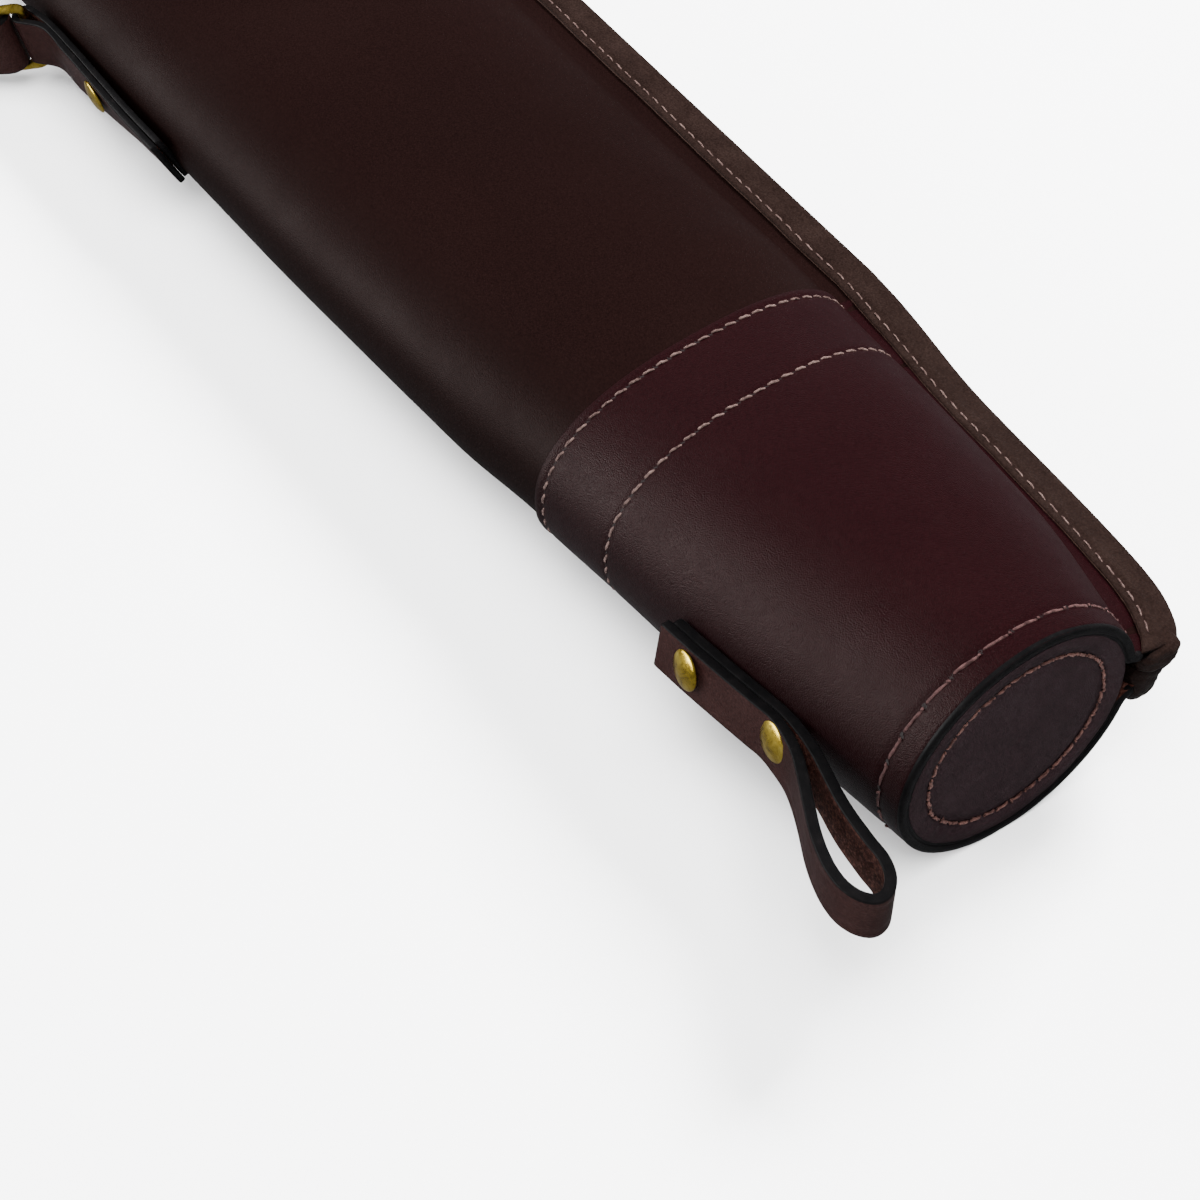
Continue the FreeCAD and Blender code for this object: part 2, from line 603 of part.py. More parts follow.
def loop_path(far, d, sgn):
    """Loop of strap folded round the ring's far bar, running on in direction d. From the sling side, round, and back."""
    r = WIRE_R + LOOP_SLACK + SLING_T / 2
    nx, ny = -d[1], d[0]
    turn = wrap(far, r, (-d[0], -d[1]))
    side = 1 if (turn[0][0] - far[0]) * nx + (turn[0][1] - far[1]) * ny > 0 else -1
    off = SLING_T / 2 + 0.05
    a = [(far[0] + d[0] * q + side * nx * (off + (r - off) * f), far[1] + d[1] * q + side * ny * (off + (r - off) * f)) for q, f in ((LOOP_LEN, 0), (28, 0), (17, 0.12), (9, 0.62))]
    b = [(far[0] + d[0] * q - side * nx * (off + (r - off) * f), far[1] + d[1] * q - side * ny * (off + (r - off) * f)) for q, f in ((9, 0.62), (17, 0.12), (28, 0), (LOOP_LEN, 0))]
    return [(s, y, TAB_Z) for s, y in a + turn + b]


front_loop = tilt(ribbon(loop_path(FAR_F, DIR_F, 1), SLING_T, SLING_W), "front")
rear_loop = tilt(ribbon(loop_path(FAR_R, DIR_R, -1), SLING_T, SLING_W), "rear")


def bezier(p, t):
    u = 1 - t
    return tuple(u ** 3 * p[0][i] + 3 * u * u * t * p[1][i] + 3 * u * t * t * p[2][i] + t ** 3 * p[3][i] for i in range(2))


START_GAP = 2.6            # the strap runs on from the loop's outer leaf
_af = tilt_point(FAR_F[0] + DIR_F[0] * (LOOP_LEN + START_GAP), FAR_F[1] + DIR_F[1] * (LOOP_LEN + START_GAP), TAB_Z, "front")
_ar = tilt_point(FAR_R[0] + DIR_R[0] * (LOOP_LEN + START_GAP), FAR_R[1] + DIR_R[1] * (LOOP_LEN + START_GAP), TAB_Z, "rear")
A0, A3 = _af[:2], _ar[:2]
K = 137.776
BEZ = [A0, (A0[0] + DIR_F[0] * K, A0[1] + DIR_F[1] * K), (A3[0] + DIR_R[0] * K, A3[1] + DIR_R[1] * K), A3]


def ease(x):
    x = max(0.0, min(1.0, x))
    return x * x * (3 - 2 * x)


def sling_point(t):
    x, y = bezier(BEZ, t)
    z_end = (_af if t < 0.5 else _ar)[2]
    d = DIR_F if t < 0.5 else DIR_R
    off = (SLING_T / 2 + 0.05) * (1 - ease(min(t, 1 - t) / 0.06))
    x += (1 if t < 0.5 else -1) * d[1] * off
    y += -(1 if t < 0.5 else -1) * d[0] * off
    drop = ease(min(t, 1 - t) / 0.27)
    low = SLING_W / 2 + FLAT + 0.2
    low += 5.0 * ease(1.0 - max(0.0, abs(t - 0.69) - 0.11) / 0.22)
    return x, y, z_end + (low - z_end) * drop


def sling_run(t0, t1, n, shift=0.0):
    pts = [sling_point(t0 + (t1 - t0) * i / (n - 1)) for i in range(n)]
    if shift:
        out = []
        for i, p in enumerate(pts):
            a, b = sling_point(max(0, t0 + (t1 - t0) * i / (n - 1) - 0.002)), sling_point(min(1, t0 + (t1 - t0) * i / (n - 1) + 0.002))
            dx, dy = b[0] - a[0], b[1] - a[1]
            l = math.hypot(dx, dy)
            out.append((p[0] - dy / l * shift, p[1] + dx / l * shift, p[2]))
        pts = out
    return pts


def tangent(t):
    a, b = sling_point(t - 0.002), sling_point(t + 0.002)
    l = math.hypot(b[0] - a[0], b[1] - a[1])
    return ((b[0] - a[0]) / l, (b[1] - a[1]) / l)


# the buckle sits on the outer side of the bow; the long strap passes through it and lies over the short one
T_BAR = 0.66
bar_p = sling_point(T_BAR)
u = tangent(T_BAR)                      # towards the rear ring
out_n = (u[1], -u[0])                   # outward, away from the case
if out_n[1] > 0:
    out_n = (-out_n[0], -out_n[1])
side = 1 if (-u[1] * out_n[0] + u[0] * out_n[1]) > 0 else -1
BAR_R = 1.6
STEP = BAR_R + 0.3 + SLING_T            # from the bar's centre to the outer face of the chape


def at(du, dn, dz):
    """Point du along the strap and dn outward from the buckle's bar."""
    return P(bar_p[0] + u[0] * du + out_n[0] * dn, bar_p[1] + u[1] * du + out_n[1] * dn, bar_p[2] + dz)


def at2(du, dn):
    return (bar_p[0] + u[0] * du + out_n[0] * dn, bar_p[1] + u[1] * du + out_n[1] * dn, bar_p[2])


# short strap: chape folded round the bar, then on to the rear loop
r_ch = BAR_R + 0.3 + SLING_T / 2
chape = [at2(-r_ch * math.sin(math.pi * k / 8.0), -r_ch * math.cos(math.pi * k / 8.0)) for k in range(9)] + [at2(10, 1.2), at2(22, 0.0)]
short_tail = sling_run(T_BAR + 0.055, 1.0, 14)
# second layer of the chape lies inside the first
short_strap = ribbon(chape + short_tail, SLING_T, SLING_W)
chape_tail = ribbon([at2(0.4, -r_ch), at2(6, -r_ch - 0.1), at2(13, -(SLING_T + 0.45))] + sling_run(T_BAR + 0.03, T_BAR + 0.06, 4, shift=-side * (SLING_T + 0.25)), SLING_T, SLING_W)

# long strap: from the front loop, under the buckle's far bar, over the chape and on as the tail
lift = STEP + SLING_T / 2 + 0.15
long_main = sling_run(0.0, T_BAR - 0.085, 16)
long_path = long_main + [at2(-27, 2.2), at2(-18, lift - 1.2), at2(-9, lift), at2(0, lift + 0.2), at2(12, lift - 1.0), at2(24, lift - 2.6)]
tail_run = sling_run(T_BAR + 0.06, T_BAR + 0.16, 5, shift=side * (SLING_T + 0.35))
long_path += tail_run
long_strap = ribbon(long_path, SLING_T, SLING_W)
slot = Part.makeBox(23.0, 12.0, 4.4, Vector(-17.0, -1.0, -2.2))
m = FreeCAD.Matrix()
ux, uy = -u[0], u[1]                    # row frame directions of along and outward
nx_, ny_ = -out_n[0], out_n[1]
m.A11, m.A21, m.A31 = ux, uy, 0
m.A12, m.A22, m.A32 = nx_, ny_, 0
m.A13, m.A23, m.A33 = 0, 0, 1
o_b = at(0, 0, 0)
m.A14, m.A24, m.A34 = o_b.x, o_b.y, o_b.z


def placed(shape):
    """From the buckle's own axes (along, outward, up) to the row frame."""
    s2 = shape.copy()
    s2.transformShape(m)
    if s2.Volume < 0:
        s2.reverse()
    return s2


long_strap = long_strap.cut(placed(slot))
chape_slot = placed(Part.makeBox(13.0, 12.0, 5.0, Vector(-7.0, -6.5, -2.5)))
short_strap = short_strap.cut(chape_slot)
chape_tail = chape_tail.cut(chape_slot)

FR_W = SLING_W / 2 + 3.2
FR_L = 25.0
FAR_N = lift + SLING_T / 2 + 0.3 + BAR_R
frame_pts = [Vector(0, 0, -FR_W), Vector(0, 0, FR_W), Vector(-FR_L, FAR_N, FR_W), Vector(-FR_L, FAR_N, -FR_W)]
fr = []
for i in range(4):
    a, b = frame_pts[i], frame_pts[(i + 1) % 4]
    fr.append(cyl(BAR_R, a, b - a, (b - a).Length))
    fr.append(Part.makeSphere(BAR_R, a))
buckle = placed(fr[0].fuse(fr[1:]).removeSplitter())
# the tongue turns on the bar and rests over the frame's far bar, 0.15 mm clear of it
hyp = math.hypot(FR_L, FAR_N)
ang_t = math.atan2(FAR_N, FR_L) + math.asin((BAR_R + 1.2 + 0.15 - 1.0) / hyp)
td = Vector(-math.cos(ang_t), math.sin(ang_t), 0)
tn = Vector(math.sin(ang_t), math.cos(ang_t), 0)
tong_a = tn * 1.0 + td * 1.2
tong_b = tn * 1.0 + td * (hyp + 3.0)
collar = cyl(BAR_R + 1.2, Vector(0, 0, -1.7), Vector(0, 0, 1), 3.4)
prong = cyl(1.2, tong_a, td, (tong_b - tong_a).Length)
tongue = collar.fuse([prong, Part.makeSphere(1.2, tong_b)]).cut(cyl(BAR_R + 0.05, Vector(0, 0, -3), Vector(0, 0, 1), 6))
tongue = placed(tongue.removeSplitter())


# keepers: thin leather bands round both layers
def keeper(t, inner_half, w=9.0):
    c = sling_point(t)
    q = tangent(t)
    n = (q[1], -q[0])
    if n[1] > 0:
        n = (-n[0], -n[1])
    mid_n = (SLING_T + 0.35) / 2
    mm = FreeCAD.Matrix()
    mm.A11, mm.A21, mm.A31 = -q[0], q[1], 0
    mm.A12, mm.A22, mm.A32 = -n[0], n[1], 0
    mm.A13, mm.A23, mm.A33 = 0, 0, 1
    oo = P(c[0], c[1], c[2])
    mm.A14, mm.A24, mm.A34 = oo.x, oo.y, oo.z
    h = SLING_W / 2 + 0.5
    a = Part.makeBox(w, 2 * inner_half + 3.2, 2 * h + 3.2, Vector(-w / 2, mid_n - inner_half - 1.6, -h - 1.6))
    b = Part.makeBox(w + 2, 2 * inner_half, 2 * h, Vector(-w / 2 - 1, mid_n - inner_half, -h))
    k = a.cut(b)
    k.transformShape(mm)
    if k.Volume < 0:
        k.reverse()
    return k


keeper_a = keeper(T_BAR + 0.085, SLING_T + 1.0)
keeper_b = keeper(T_BAR + 0.135, SLING_T + 1.0)

# rivets that close the sling's loops
sling_rivets = {}
for name, far, d in (("front", FAR_F, DIR_F), ("rear", FAR_R, DIR_R)):
    c = P(far[0] + d[0] * 26, far[1] + d[1] * 26, TAB_Z)
    nrm = Vector(-(-d[1]), d[0], 0)
    nrm = Vector(d[1], d[0], 0)          # row frame normal of the loop's faces
    nrm.normalize()
    if nrm.y > 0:
        nrm = nrm * -1
    f = SLING_T + 0.12
    head = cyl(5.0, c + nrm * f, nrm, 0.8).fuse(Part.makeSphere(11.0, c + nrm * (f + 1.7 - 11.0)).common(cyl(4.7, c + nrm * (f + 0.8), nrm, 2)))
    post = cyl(1.6, c - nrm * (f + 0.8), nrm, 2 * f + 0.8)
    back = cyl(4.0, c - nrm * f, nrm * -1, 0.8)
    sling_rivets[name] = tilt(head.fuse([post, back]).removeSplitter(), name)

# ---------------------------------------------------------------- flap, strap and stud
Z0 = 3.4                   # height of the flap's lower hinge line
wall = box(X_TIP - FLAP_S - FLAP_T, X_TIP - FLAP_S, FLAP_Y0 + Y_MID, FLAP_Y1 + Y_MID, Z0, COVER_Z - 0.3)
mid_y = (FLAP_Y0 + FLAP_Y1) / 2
cover = box(X_TIP - FLAP_S - FLAP_T / 2, X_TIP - COVER_S, FLAP_Y0 + Y_MID, FLAP_Y1 + Y_MID, COVER_Z, COVER_Z + FLAP_T)
corner = [e for e in cover.Edges if abs(e.BoundBox.XMin - (X_TIP - COVER_S)) < 1e-6 and e.BoundBox.ZLength > 2 and e.BoundBox.XLength < 1e-6 and e.BoundBox.YLength < 1e-6]
cover = cover.makeFillet(34.0, corner)
ST_W = 25.0
TOP = COVER_Z + FLAP_T + 0.1
closing = box(X_TIP - 1188, X_TIP - STUD_S + 24, mid_y + Y_MID - ST_W / 2, mid_y + Y_MID + ST_W / 2, TOP, TOP + 2.6)
tipe = [e for e in closing.Edges if abs(e.BoundBox.XMin - (X_TIP - STUD_S + 24)) < 1e-6 and e.BoundBox.ZLength > 2 and e.BoundBox.YLength < 1e-6 and e.BoundBox.XLength < 1e-6]
closing = closing.makeFillet(12.0, tipe)
stud_c = P(STUD_S, mid_y, 0)
for k in range(2):
    closing = closing.cut(cyl(3.9, stud_c + Vector(4.0 * k, 0, TOP - 2), Vector(0, 0, 1), 8))
closing = closing.cut(box(stud_c.x, stud_c.x + 4.0, stud_c.y - 3.9, stud_c.y + 3.9, TOP - 2, TOP + 6))
strap_rivets = []
for s in (1172.0, 1100.0):
    c = P(s, mid_y, TOP + 2.62)
    strap_rivets.append(cyl(5.0, c, Vector(0, 0, 1), 0.8).fuse(Part.makeSphere(11.0, c + Vector(0, 0, 1.7 - 11.0)).common(cyl(4.7, c + Vector(0, 0, 0.8), Vector(0, 0, 1), 2))).removeSplitter())

patch_z = height(1060.0) + 0.12
patch = box(X_TIP - 1060, X_TIP - 1004, mid_y + Y_MID - 20, mid_y + Y_MID + 20, patch_z, patch_z + 1.6)
patch = patch.makeFillet(8.0, [e for e in patch.Edges if e.BoundBox.ZLength > 1 and e.BoundBox.XLength < 1e-6])
pz = patch_z + 1.6
stud = cyl(6.0, stud_c + Vector(0, 0, pz + 0.02), Vector(0, 0, 1), 1.2).fuse([
    cyl(2.2, stud_c + Vector(0, 0, pz + 0.02), Vector(0, 0, 1), TOP + 3.4 - pz),
    Part.makeSphere(3.3, stud_c + Vector(0, 0, TOP + 5.2))]).removeSplitter()

# ---------------------------------------------------------------- holes for the posts

def drill(shape, rivets, r):
    for rv in rivets:
        shape = shape.cut(rv)
    return shape


hang = drill(hang, hang_rivets, 2)
cap = drill(cap, hang_rivets, 2)
for name, rivets in (("body_tip_length", hang_rivets), ("body_barrel_length", [tab_rivets["front"]]), ("body_mouth_length", [tab_rivets["rear"]])):
    body[name] = drill(body[name], rivets, 2)
lining = drill(lining, hang_rivets + [tab_rivets["front"], tab_rivets["rear"]] + pockets, 2)
front_tab = drill(front_tab, [tab_rivets["front"]], 2)
rear_tab = drill(rear_tab, [tab_rivets["rear"]], 2)
front_loop = drill(front_loop, [sling_rivets["front"]], 2)
rear_loop = drill(rear_loop, [sling_rivets["rear"]], 2)

# ---------------------------------------------------------------- files
for name, s0, s1 in LENGTHS:
    save(name, body[name])
save("tip_cap", cap)
save("fleece_lining", lining)
save("upper_edge_binding", bind_up)
save("lower_edge_binding", bind_lo)
save("end_disc", disc)
save("end_board", board)
save("end_pad", pad)
save("upper_zip_tape", tape_up)
save("lower_zip_tape", tape_lo)
save("upper_zip_teeth", teeth_up)
save("lower_zip_teeth", teeth_lo)
save("zip_bottom_stop", bottom_stop)
save("zip_top_stops", top_stops)
save("zip_slider", slider)
save("zip_puller", puller)
save("zip_thong", thong)
save("hang_loop", hang)
save("hang_loop_rivets", hang_rivets)
save("hang_loop_washers", hang_washers)
save("front_ring_tab", front_tab)
save("front_tab_rivet", tab_rivets["front"])
save("front_tab_washer", tab_washers["front"])
save("rear_ring_tab", rear_tab)
save("rear_tab_rivet", tab_rivets["rear"])
save("rear_tab_washer", tab_washers["rear"])
save("front_ring", front_ring)
save("rear_ring", rear_ring)
save("sling_front_loop", front_loop)
save("sling_rear_loop", rear_loop)
save("sling_front_rivet", sling_rivets["front"])
save("sling_rear_rivet", sling_rivets["rear"])
save("sling_long_strap", long_strap)
save("sling_short_strap", short_strap)
save("sling_chape_tail", chape_tail)
save("sling_buckle", buckle)
save("sling_buckle_tongue", tongue)
save("sling_keepers", [keeper_a, keeper_b])
save("flap_root", flap_root)
save("flap_end_wall", wall)
save("flap_cover", cover)
save("flap_strap", closing)
save("flap_strap_rivets", strap_rivets)
save("stud_patch", patch)
save("closure_stud", stud)
print("overall", min(b.XMin for b in BOXES), max(b.XMax for b in BOXES), min(b.YMin for b in BOXES), max(b.YMax for b in BOXES), min(b.ZMin for b in BOXES), max(b.ZMax for b in BOXES))
print("front bar row tilted", tilt_point(*FRONT_BAR, TAB_Z, "front"), "rear", tilt_point(*REAR_BAR, TAB_Z, "rear"))
print("front bar row", P(FRONT_BAR[0], FRONT_BAR[1], TAB_Z), "rear bar row", P(REAR_BAR[0], REAR_BAR[1], TAB_Z))
print("buckle bar row", o_b, "puller pin row", P(SLIDER_S, e_s + PIN_Y, z_s), "slide dir", pitch_dir.normalize())
print("flap hinge row", X_TIP - FLAP_S - FLAP_T / 2, Z0, "cover hinge z", COVER_Z - 0.15, "stud", stud_c)
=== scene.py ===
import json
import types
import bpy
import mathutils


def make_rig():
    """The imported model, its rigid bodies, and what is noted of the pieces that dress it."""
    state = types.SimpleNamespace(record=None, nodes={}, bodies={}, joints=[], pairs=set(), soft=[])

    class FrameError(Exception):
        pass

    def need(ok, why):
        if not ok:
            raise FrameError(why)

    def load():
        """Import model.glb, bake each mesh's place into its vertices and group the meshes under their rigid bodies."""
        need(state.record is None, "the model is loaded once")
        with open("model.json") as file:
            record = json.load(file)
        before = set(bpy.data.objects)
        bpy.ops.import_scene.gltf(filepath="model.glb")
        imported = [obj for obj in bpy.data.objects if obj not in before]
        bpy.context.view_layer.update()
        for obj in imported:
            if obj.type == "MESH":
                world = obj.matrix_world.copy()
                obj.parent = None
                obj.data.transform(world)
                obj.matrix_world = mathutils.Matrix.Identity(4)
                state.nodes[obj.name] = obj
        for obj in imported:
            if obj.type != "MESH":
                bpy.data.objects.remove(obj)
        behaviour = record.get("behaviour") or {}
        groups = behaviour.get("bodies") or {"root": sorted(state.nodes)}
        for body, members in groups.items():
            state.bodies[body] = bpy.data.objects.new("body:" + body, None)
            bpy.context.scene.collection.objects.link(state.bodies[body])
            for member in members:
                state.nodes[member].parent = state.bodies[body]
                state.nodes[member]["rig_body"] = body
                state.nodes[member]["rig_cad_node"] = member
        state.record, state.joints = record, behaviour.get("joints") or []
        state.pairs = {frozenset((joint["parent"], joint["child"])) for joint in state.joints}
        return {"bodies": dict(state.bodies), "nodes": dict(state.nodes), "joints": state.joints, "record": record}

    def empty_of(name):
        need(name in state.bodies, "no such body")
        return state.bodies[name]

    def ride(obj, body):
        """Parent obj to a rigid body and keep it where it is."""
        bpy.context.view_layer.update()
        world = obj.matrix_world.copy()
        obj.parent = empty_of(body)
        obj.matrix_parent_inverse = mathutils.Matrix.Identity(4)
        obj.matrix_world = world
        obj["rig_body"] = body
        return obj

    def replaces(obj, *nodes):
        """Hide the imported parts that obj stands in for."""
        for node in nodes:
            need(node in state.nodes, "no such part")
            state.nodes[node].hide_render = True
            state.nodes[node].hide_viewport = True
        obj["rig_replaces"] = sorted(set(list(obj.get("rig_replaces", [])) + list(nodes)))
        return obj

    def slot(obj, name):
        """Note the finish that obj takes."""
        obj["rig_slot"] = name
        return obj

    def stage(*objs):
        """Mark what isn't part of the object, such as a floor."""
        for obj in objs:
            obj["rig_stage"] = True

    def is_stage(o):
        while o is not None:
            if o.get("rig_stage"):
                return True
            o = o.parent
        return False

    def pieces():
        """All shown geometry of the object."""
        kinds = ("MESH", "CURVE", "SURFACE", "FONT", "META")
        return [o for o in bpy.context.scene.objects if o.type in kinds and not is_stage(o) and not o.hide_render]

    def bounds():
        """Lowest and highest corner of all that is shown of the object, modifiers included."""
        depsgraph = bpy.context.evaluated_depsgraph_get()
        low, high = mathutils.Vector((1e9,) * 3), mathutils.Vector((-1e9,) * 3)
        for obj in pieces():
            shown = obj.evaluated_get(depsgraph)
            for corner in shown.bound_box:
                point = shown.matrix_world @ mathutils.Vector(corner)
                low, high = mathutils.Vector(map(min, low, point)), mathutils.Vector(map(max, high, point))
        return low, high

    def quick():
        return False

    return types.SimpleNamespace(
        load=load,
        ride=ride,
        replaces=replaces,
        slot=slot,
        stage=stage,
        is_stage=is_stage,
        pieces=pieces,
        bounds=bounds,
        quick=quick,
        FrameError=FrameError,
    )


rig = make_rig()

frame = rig.load()
import bpy
import bmesh
import json
import math
import numpy as np
from mathutils import Matrix, Vector, noise

CAD_LO, CAD_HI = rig.bounds()
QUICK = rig.quick()
N = frame["nodes"]

# ------------------------------------------------------------------ the case's own measures, in millimetres
# s runs back from the tip face, y across (fold at -y, zip edge at +y), z up
X_TIP, Y_MID, FLAT = 592.335, 70.8, 0.3
T_BODY, T_CAP, T_BIND, T_BIND_IN = 2.2, 1.6, 1.2, 1.0
BIND_W, BIND_IN_W = 13.5, 9.0
CAP_LEN, SKEW = 147.0, 0.078
T_HEIGHT = [(0, 78.8), (50, 75.0), (100, 71.0), (145, 65.0), (200, 60.5), (300, 57.5), (450, 57.0), (800, 60.0), (1200, 62.0)]
T_FOLD = [(0, -39.4), (25, -42.5), (82, -50.0), (117, -52.5), (148, -55.0), (186, -57.8), (275, -63.0), (350, -66.0), (450, -70.0), (700, -83.5), (1200, -110.8)]
T_SEAM = [(0, 54.5), (5, 58.5), (19, 63.8), (43, 67.0), (67, 69.0), (91, 70.8), (111, 72.5), (134, 75.6), (164, 79.0)]
SEAM_STRAIGHT, SEAM_SLOPE = 164.0, 0.014
T_RIGHT = [(0, 39.4), (50, 51.0), (100, 56.0), (145, 60.5), (164, 62.8)]
LIP = 16.2
T_POWER = [(0, 2.0), (60, 2.15), (150, 2.35), (450, 2.4), (1000, 2.7), (1200, 3.4)]
T_SEAM_Z = [(0, 39.4), (60, 37.0), (145, 33.0), (166, 32.0)]
SEAM_Z_SLOPE = -0.001
T_LIP_OUT = [(0, 3.8), (95, 4.4), (125, 6.2), (152, 8.0), (1200, 8.0)]
LIP_ROOT = 9.2
T_LINING = 3.0
HANG_Z, HANG_W, STRAP_T = 35.0, 16.0, 3.1
TAB_Z, TAB_W, TAB_T = 23.5, 20.0, 2.3
TILT, SNUG = 12.0, 0.35
SLING_W, SLING_T = 22.0, 2.6


def pchip(table, x):
    xs = np.array([p[0] for p in table], float)
    ys = np.array([p[1] for p in table], float)
    h = np.diff(xs)
    d = np.diff(ys) / h
    m = np.zeros(len(xs))
    m[0], m[-1] = d[0], d[-1]
    for i in range(1, len(xs) - 1):
        if d[i - 1] * d[i] > 0:
            w1, w2 = 2 * h[i] + h[i - 1], h[i] + 2 * h[i - 1]
            m[i] = (w1 + w2) / (w1 / d[i - 1] + w2 / d[i])
    x = np.clip(np.asarray(x, float), xs[0], xs[-1])
    i = np.clip(np.searchsorted(xs, x, side="right") - 1, 0, len(xs) - 2)
    t = (x - xs[i]) / h[i]
    return (ys[i] * (1 + 2 * t) * (1 - t) ** 2 + h[i] * m[i] * t * (1 - t) ** 2
            + ys[i + 1] * t * t * (3 - 2 * t) + h[i] * m[i + 1] * t * t * (t - 1))


def height(s):
    return float(pchip(T_HEIGHT, s))


def fold_y(s):
    return float(pchip(T_FOLD, s))


def seam_y(s):
    return float(pchip(T_SEAM, s)) if s <= SEAM_STRAIGHT else T_SEAM[-1][1] + (s - SEAM_STRAIGHT) * SEAM_SLOPE


def right_y(s):
    return float(pchip(T_RIGHT, s)) if s <= SEAM_STRAIGHT else seam_y(s) - LIP


def seam_z(s):
    return float(pchip(T_SEAM_Z, s)) if s <= 166 else T_SEAM_Z[-1][1] + (s - 166) * SEAM_Z_SLOPE


def lip_out(s):
    return float(pchip(T_LIP_OUT, s))


def cap_under(s):
    if s <= 150:
        return T_CAP
    if s >= 190:
        return 0.0
    t = (s - 150) / 40.0
    return T_CAP * (1 - t * t * (3 - 2 * t))


def tube(s, off, ang):
    a = (right_y(s) - fold_y(s)) / 2 - off
    b = height(s) / 2 - off
    n = float(pchip(T_POWER, s))
    c, q = np.cos(ang), np.sin(ang)
    return np.stack([(right_y(s) + fold_y(s)) / 2 + a * np.sign(c) * np.abs(c) ** (2 / n),
                     height(s) / 2 + b * np.sign(q) * np.abs(q) ** (2 / n)], -1)


def root_angle(s, off, z):
    b = height(s) / 2 - off
    n = float(pchip(T_POWER, s))
    k = (z - height(s) / 2) / b
    return math.copysign(math.asin(min(1.0, abs(k)) ** (n / 2)), k)


def resample(p, n):
    d = np.concatenate([[0], np.cumsum(np.linalg.norm(np.diff(p, axis=0), axis=1))])
    t = np.linspace(0, d[-1], n)
    return np.stack([np.interp(t, d, p[:, k]) for k in range(p.shape[1])], -1)


def soften(p, n, width):
    """Resample a path to n points and round its corners over about width."""
    q = resample(p, n)
    d = np.linalg.norm(q[1] - q[0])
    k = max(1, int(round(width / max(d, 1e-6))))
    w = np.hanning(2 * k + 3)[1:-1]
    w /= w.sum()
    r = np.empty_like(q)
    m = (len(w) - 1) // 2
    for c in range(q.shape[1]):
        left = 2 * q[0, c] - q[1:m + 1, c][::-1]
        right = 2 * q[-1, c] - q[-m - 1:-1, c][::-1]
        r[:, c] = np.convolve(np.concatenate([left, q[:, c], right]), w, "valid")
    return r


def profile(s, off=None, n=420):
    """Body leather's outer line at station s, from the upper lip's edge over the top, round the fold and back to the lower lip's edge."""
    off = cap_under(s) if off is None else off
    zs, ho, yo = seam_z(s), lip_out(s), seam_y(s) - T_BIND
    au, al = root_angle(s, off, zs + LIP_ROOT), root_angle(s, off, zs - LIP_ROOT)
    arc = tube(s, off, np.linspace(au, 2 * math.pi + al, 1200))
    arc[:, 1] = np.maximum(arc[:, 1], off + FLAT)
    p = np.vstack([[yo, zs + ho], arc, [yo, zs - ho]])
    return soften(p, n, 2.4)


def normals2(p):
    """Outward normals of a line that runs over the top from the seam to the fold."""
    t = np.gradient(p, axis=0)
    t /= np.linalg.norm(t, axis=1)[:, None]
    return np.stack([t[:, 1], -t[:, 0]], -1)


def W(s, y, z):
    """Construction millimetres to the row frame in metres."""
    s, y, z = np.broadcast_arrays(s, y, z)
    return np.stack([(X_TIP - s) / 1000, (y + Y_MID) / 1000, (z - FLAT) / 1000], -1).reshape(-1, 3)


def nz(p, scale, seed=0.0):
    """Smooth noise in -1..1 at points p (mm)."""
    return np.array([noise.noise(Vector((a / scale + seed, b / scale - seed * 0.7, c / scale + seed * 1.3))) for a, b, c in p])


# ------------------------------------------------------------------ mesh helpers
def make(name, verts, faces, mats, index=None, smooth=True, body="case_body"):
    me = bpy.data.meshes.new(name)
    me.from_pydata([tuple(v) for v in np.asarray(verts, float)], [], [tuple(int(i) for i in f) for f in faces])
    for m in (mats if isinstance(mats, (list, tuple)) else [mats]):
        me.materials.append(m)
    if index is not None:
        me.polygons.foreach_set("material_index", np.asarray(index, dtype=np.int32))
    me.polygons.foreach_set("use_smooth", np.full(len(me.polygons), smooth))
    me.validate()
    me.update()
    o = bpy.data.objects.new(name, me)
    bpy.context.scene.collection.objects.link(o)
    if body:
        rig.ride(o, body)
    return o


def outward(o):
    bm = bmesh.new()
    bm.from_mesh(o.data)
    bmesh.ops.recalc_face_normals(bm, faces=bm.faces)
    bm.to_mesh(o.data)
    bm.free()
    return o


def grid_faces(nu, nv, close_v=False, close_u=False, base=0):
    u = np.arange(nu if close_u else nu - 1)
    v = np.arange(nv if close_v else nv - 1)
    U, V = np.meshgrid(u, v, indexing="ij")
    a = U * nv + V
    b = ((U + 1) % nu) * nv + V
    c = ((U + 1) % nu) * nv + (V + 1) % nv
    d = U * nv + (V + 1) % nv
    return (np.stack([a, b, c, d], -1).reshape(-1, 4) + base).tolist()


class Parts:
    """Collects verts and faces of many small pieces into one mesh."""

    def __init__(self):
        self.v, self.f, self.m, self.n = [], [], [], 0

    def add(self, verts, faces, mat=0):
        self.v.append(np.asarray(verts, float))
        self.f += [[i + self.n for i in f] for f in faces]
        self.m += [mat] * len(faces) if np.isscalar(mat) else list(mat)
        self.n += len(verts)

    def build(self, name, mats, smooth=True, body="case_body"):
        return make(name, np.vstack(self.v), self.f, mats, self.m, smooth, body)


# ------------------------------------------------------------------ materials
def new_mat(name):
    m = bpy.data.materials.new(name)
    m.use_nodes = True
    nt = m.node_tree
    nt.nodes.clear()
    out = nt.nodes.new("ShaderNodeOutputMaterial")
    b = nt.nodes.new("ShaderNodeBsdfPrincipled")
    nt.links.new(b.outputs[0], out.inputs[0])
    return m, nt, b


def node(nt, kind, **kw):
    n = nt.nodes.new(kind)
    for k, v in kw.items():
        if k.startswith("in_"):
            key = k[3:]
            n.inputs[int(key) if key.isdigit() else key].default_value = v
        else:
            setattr(n, k, v)
    return n


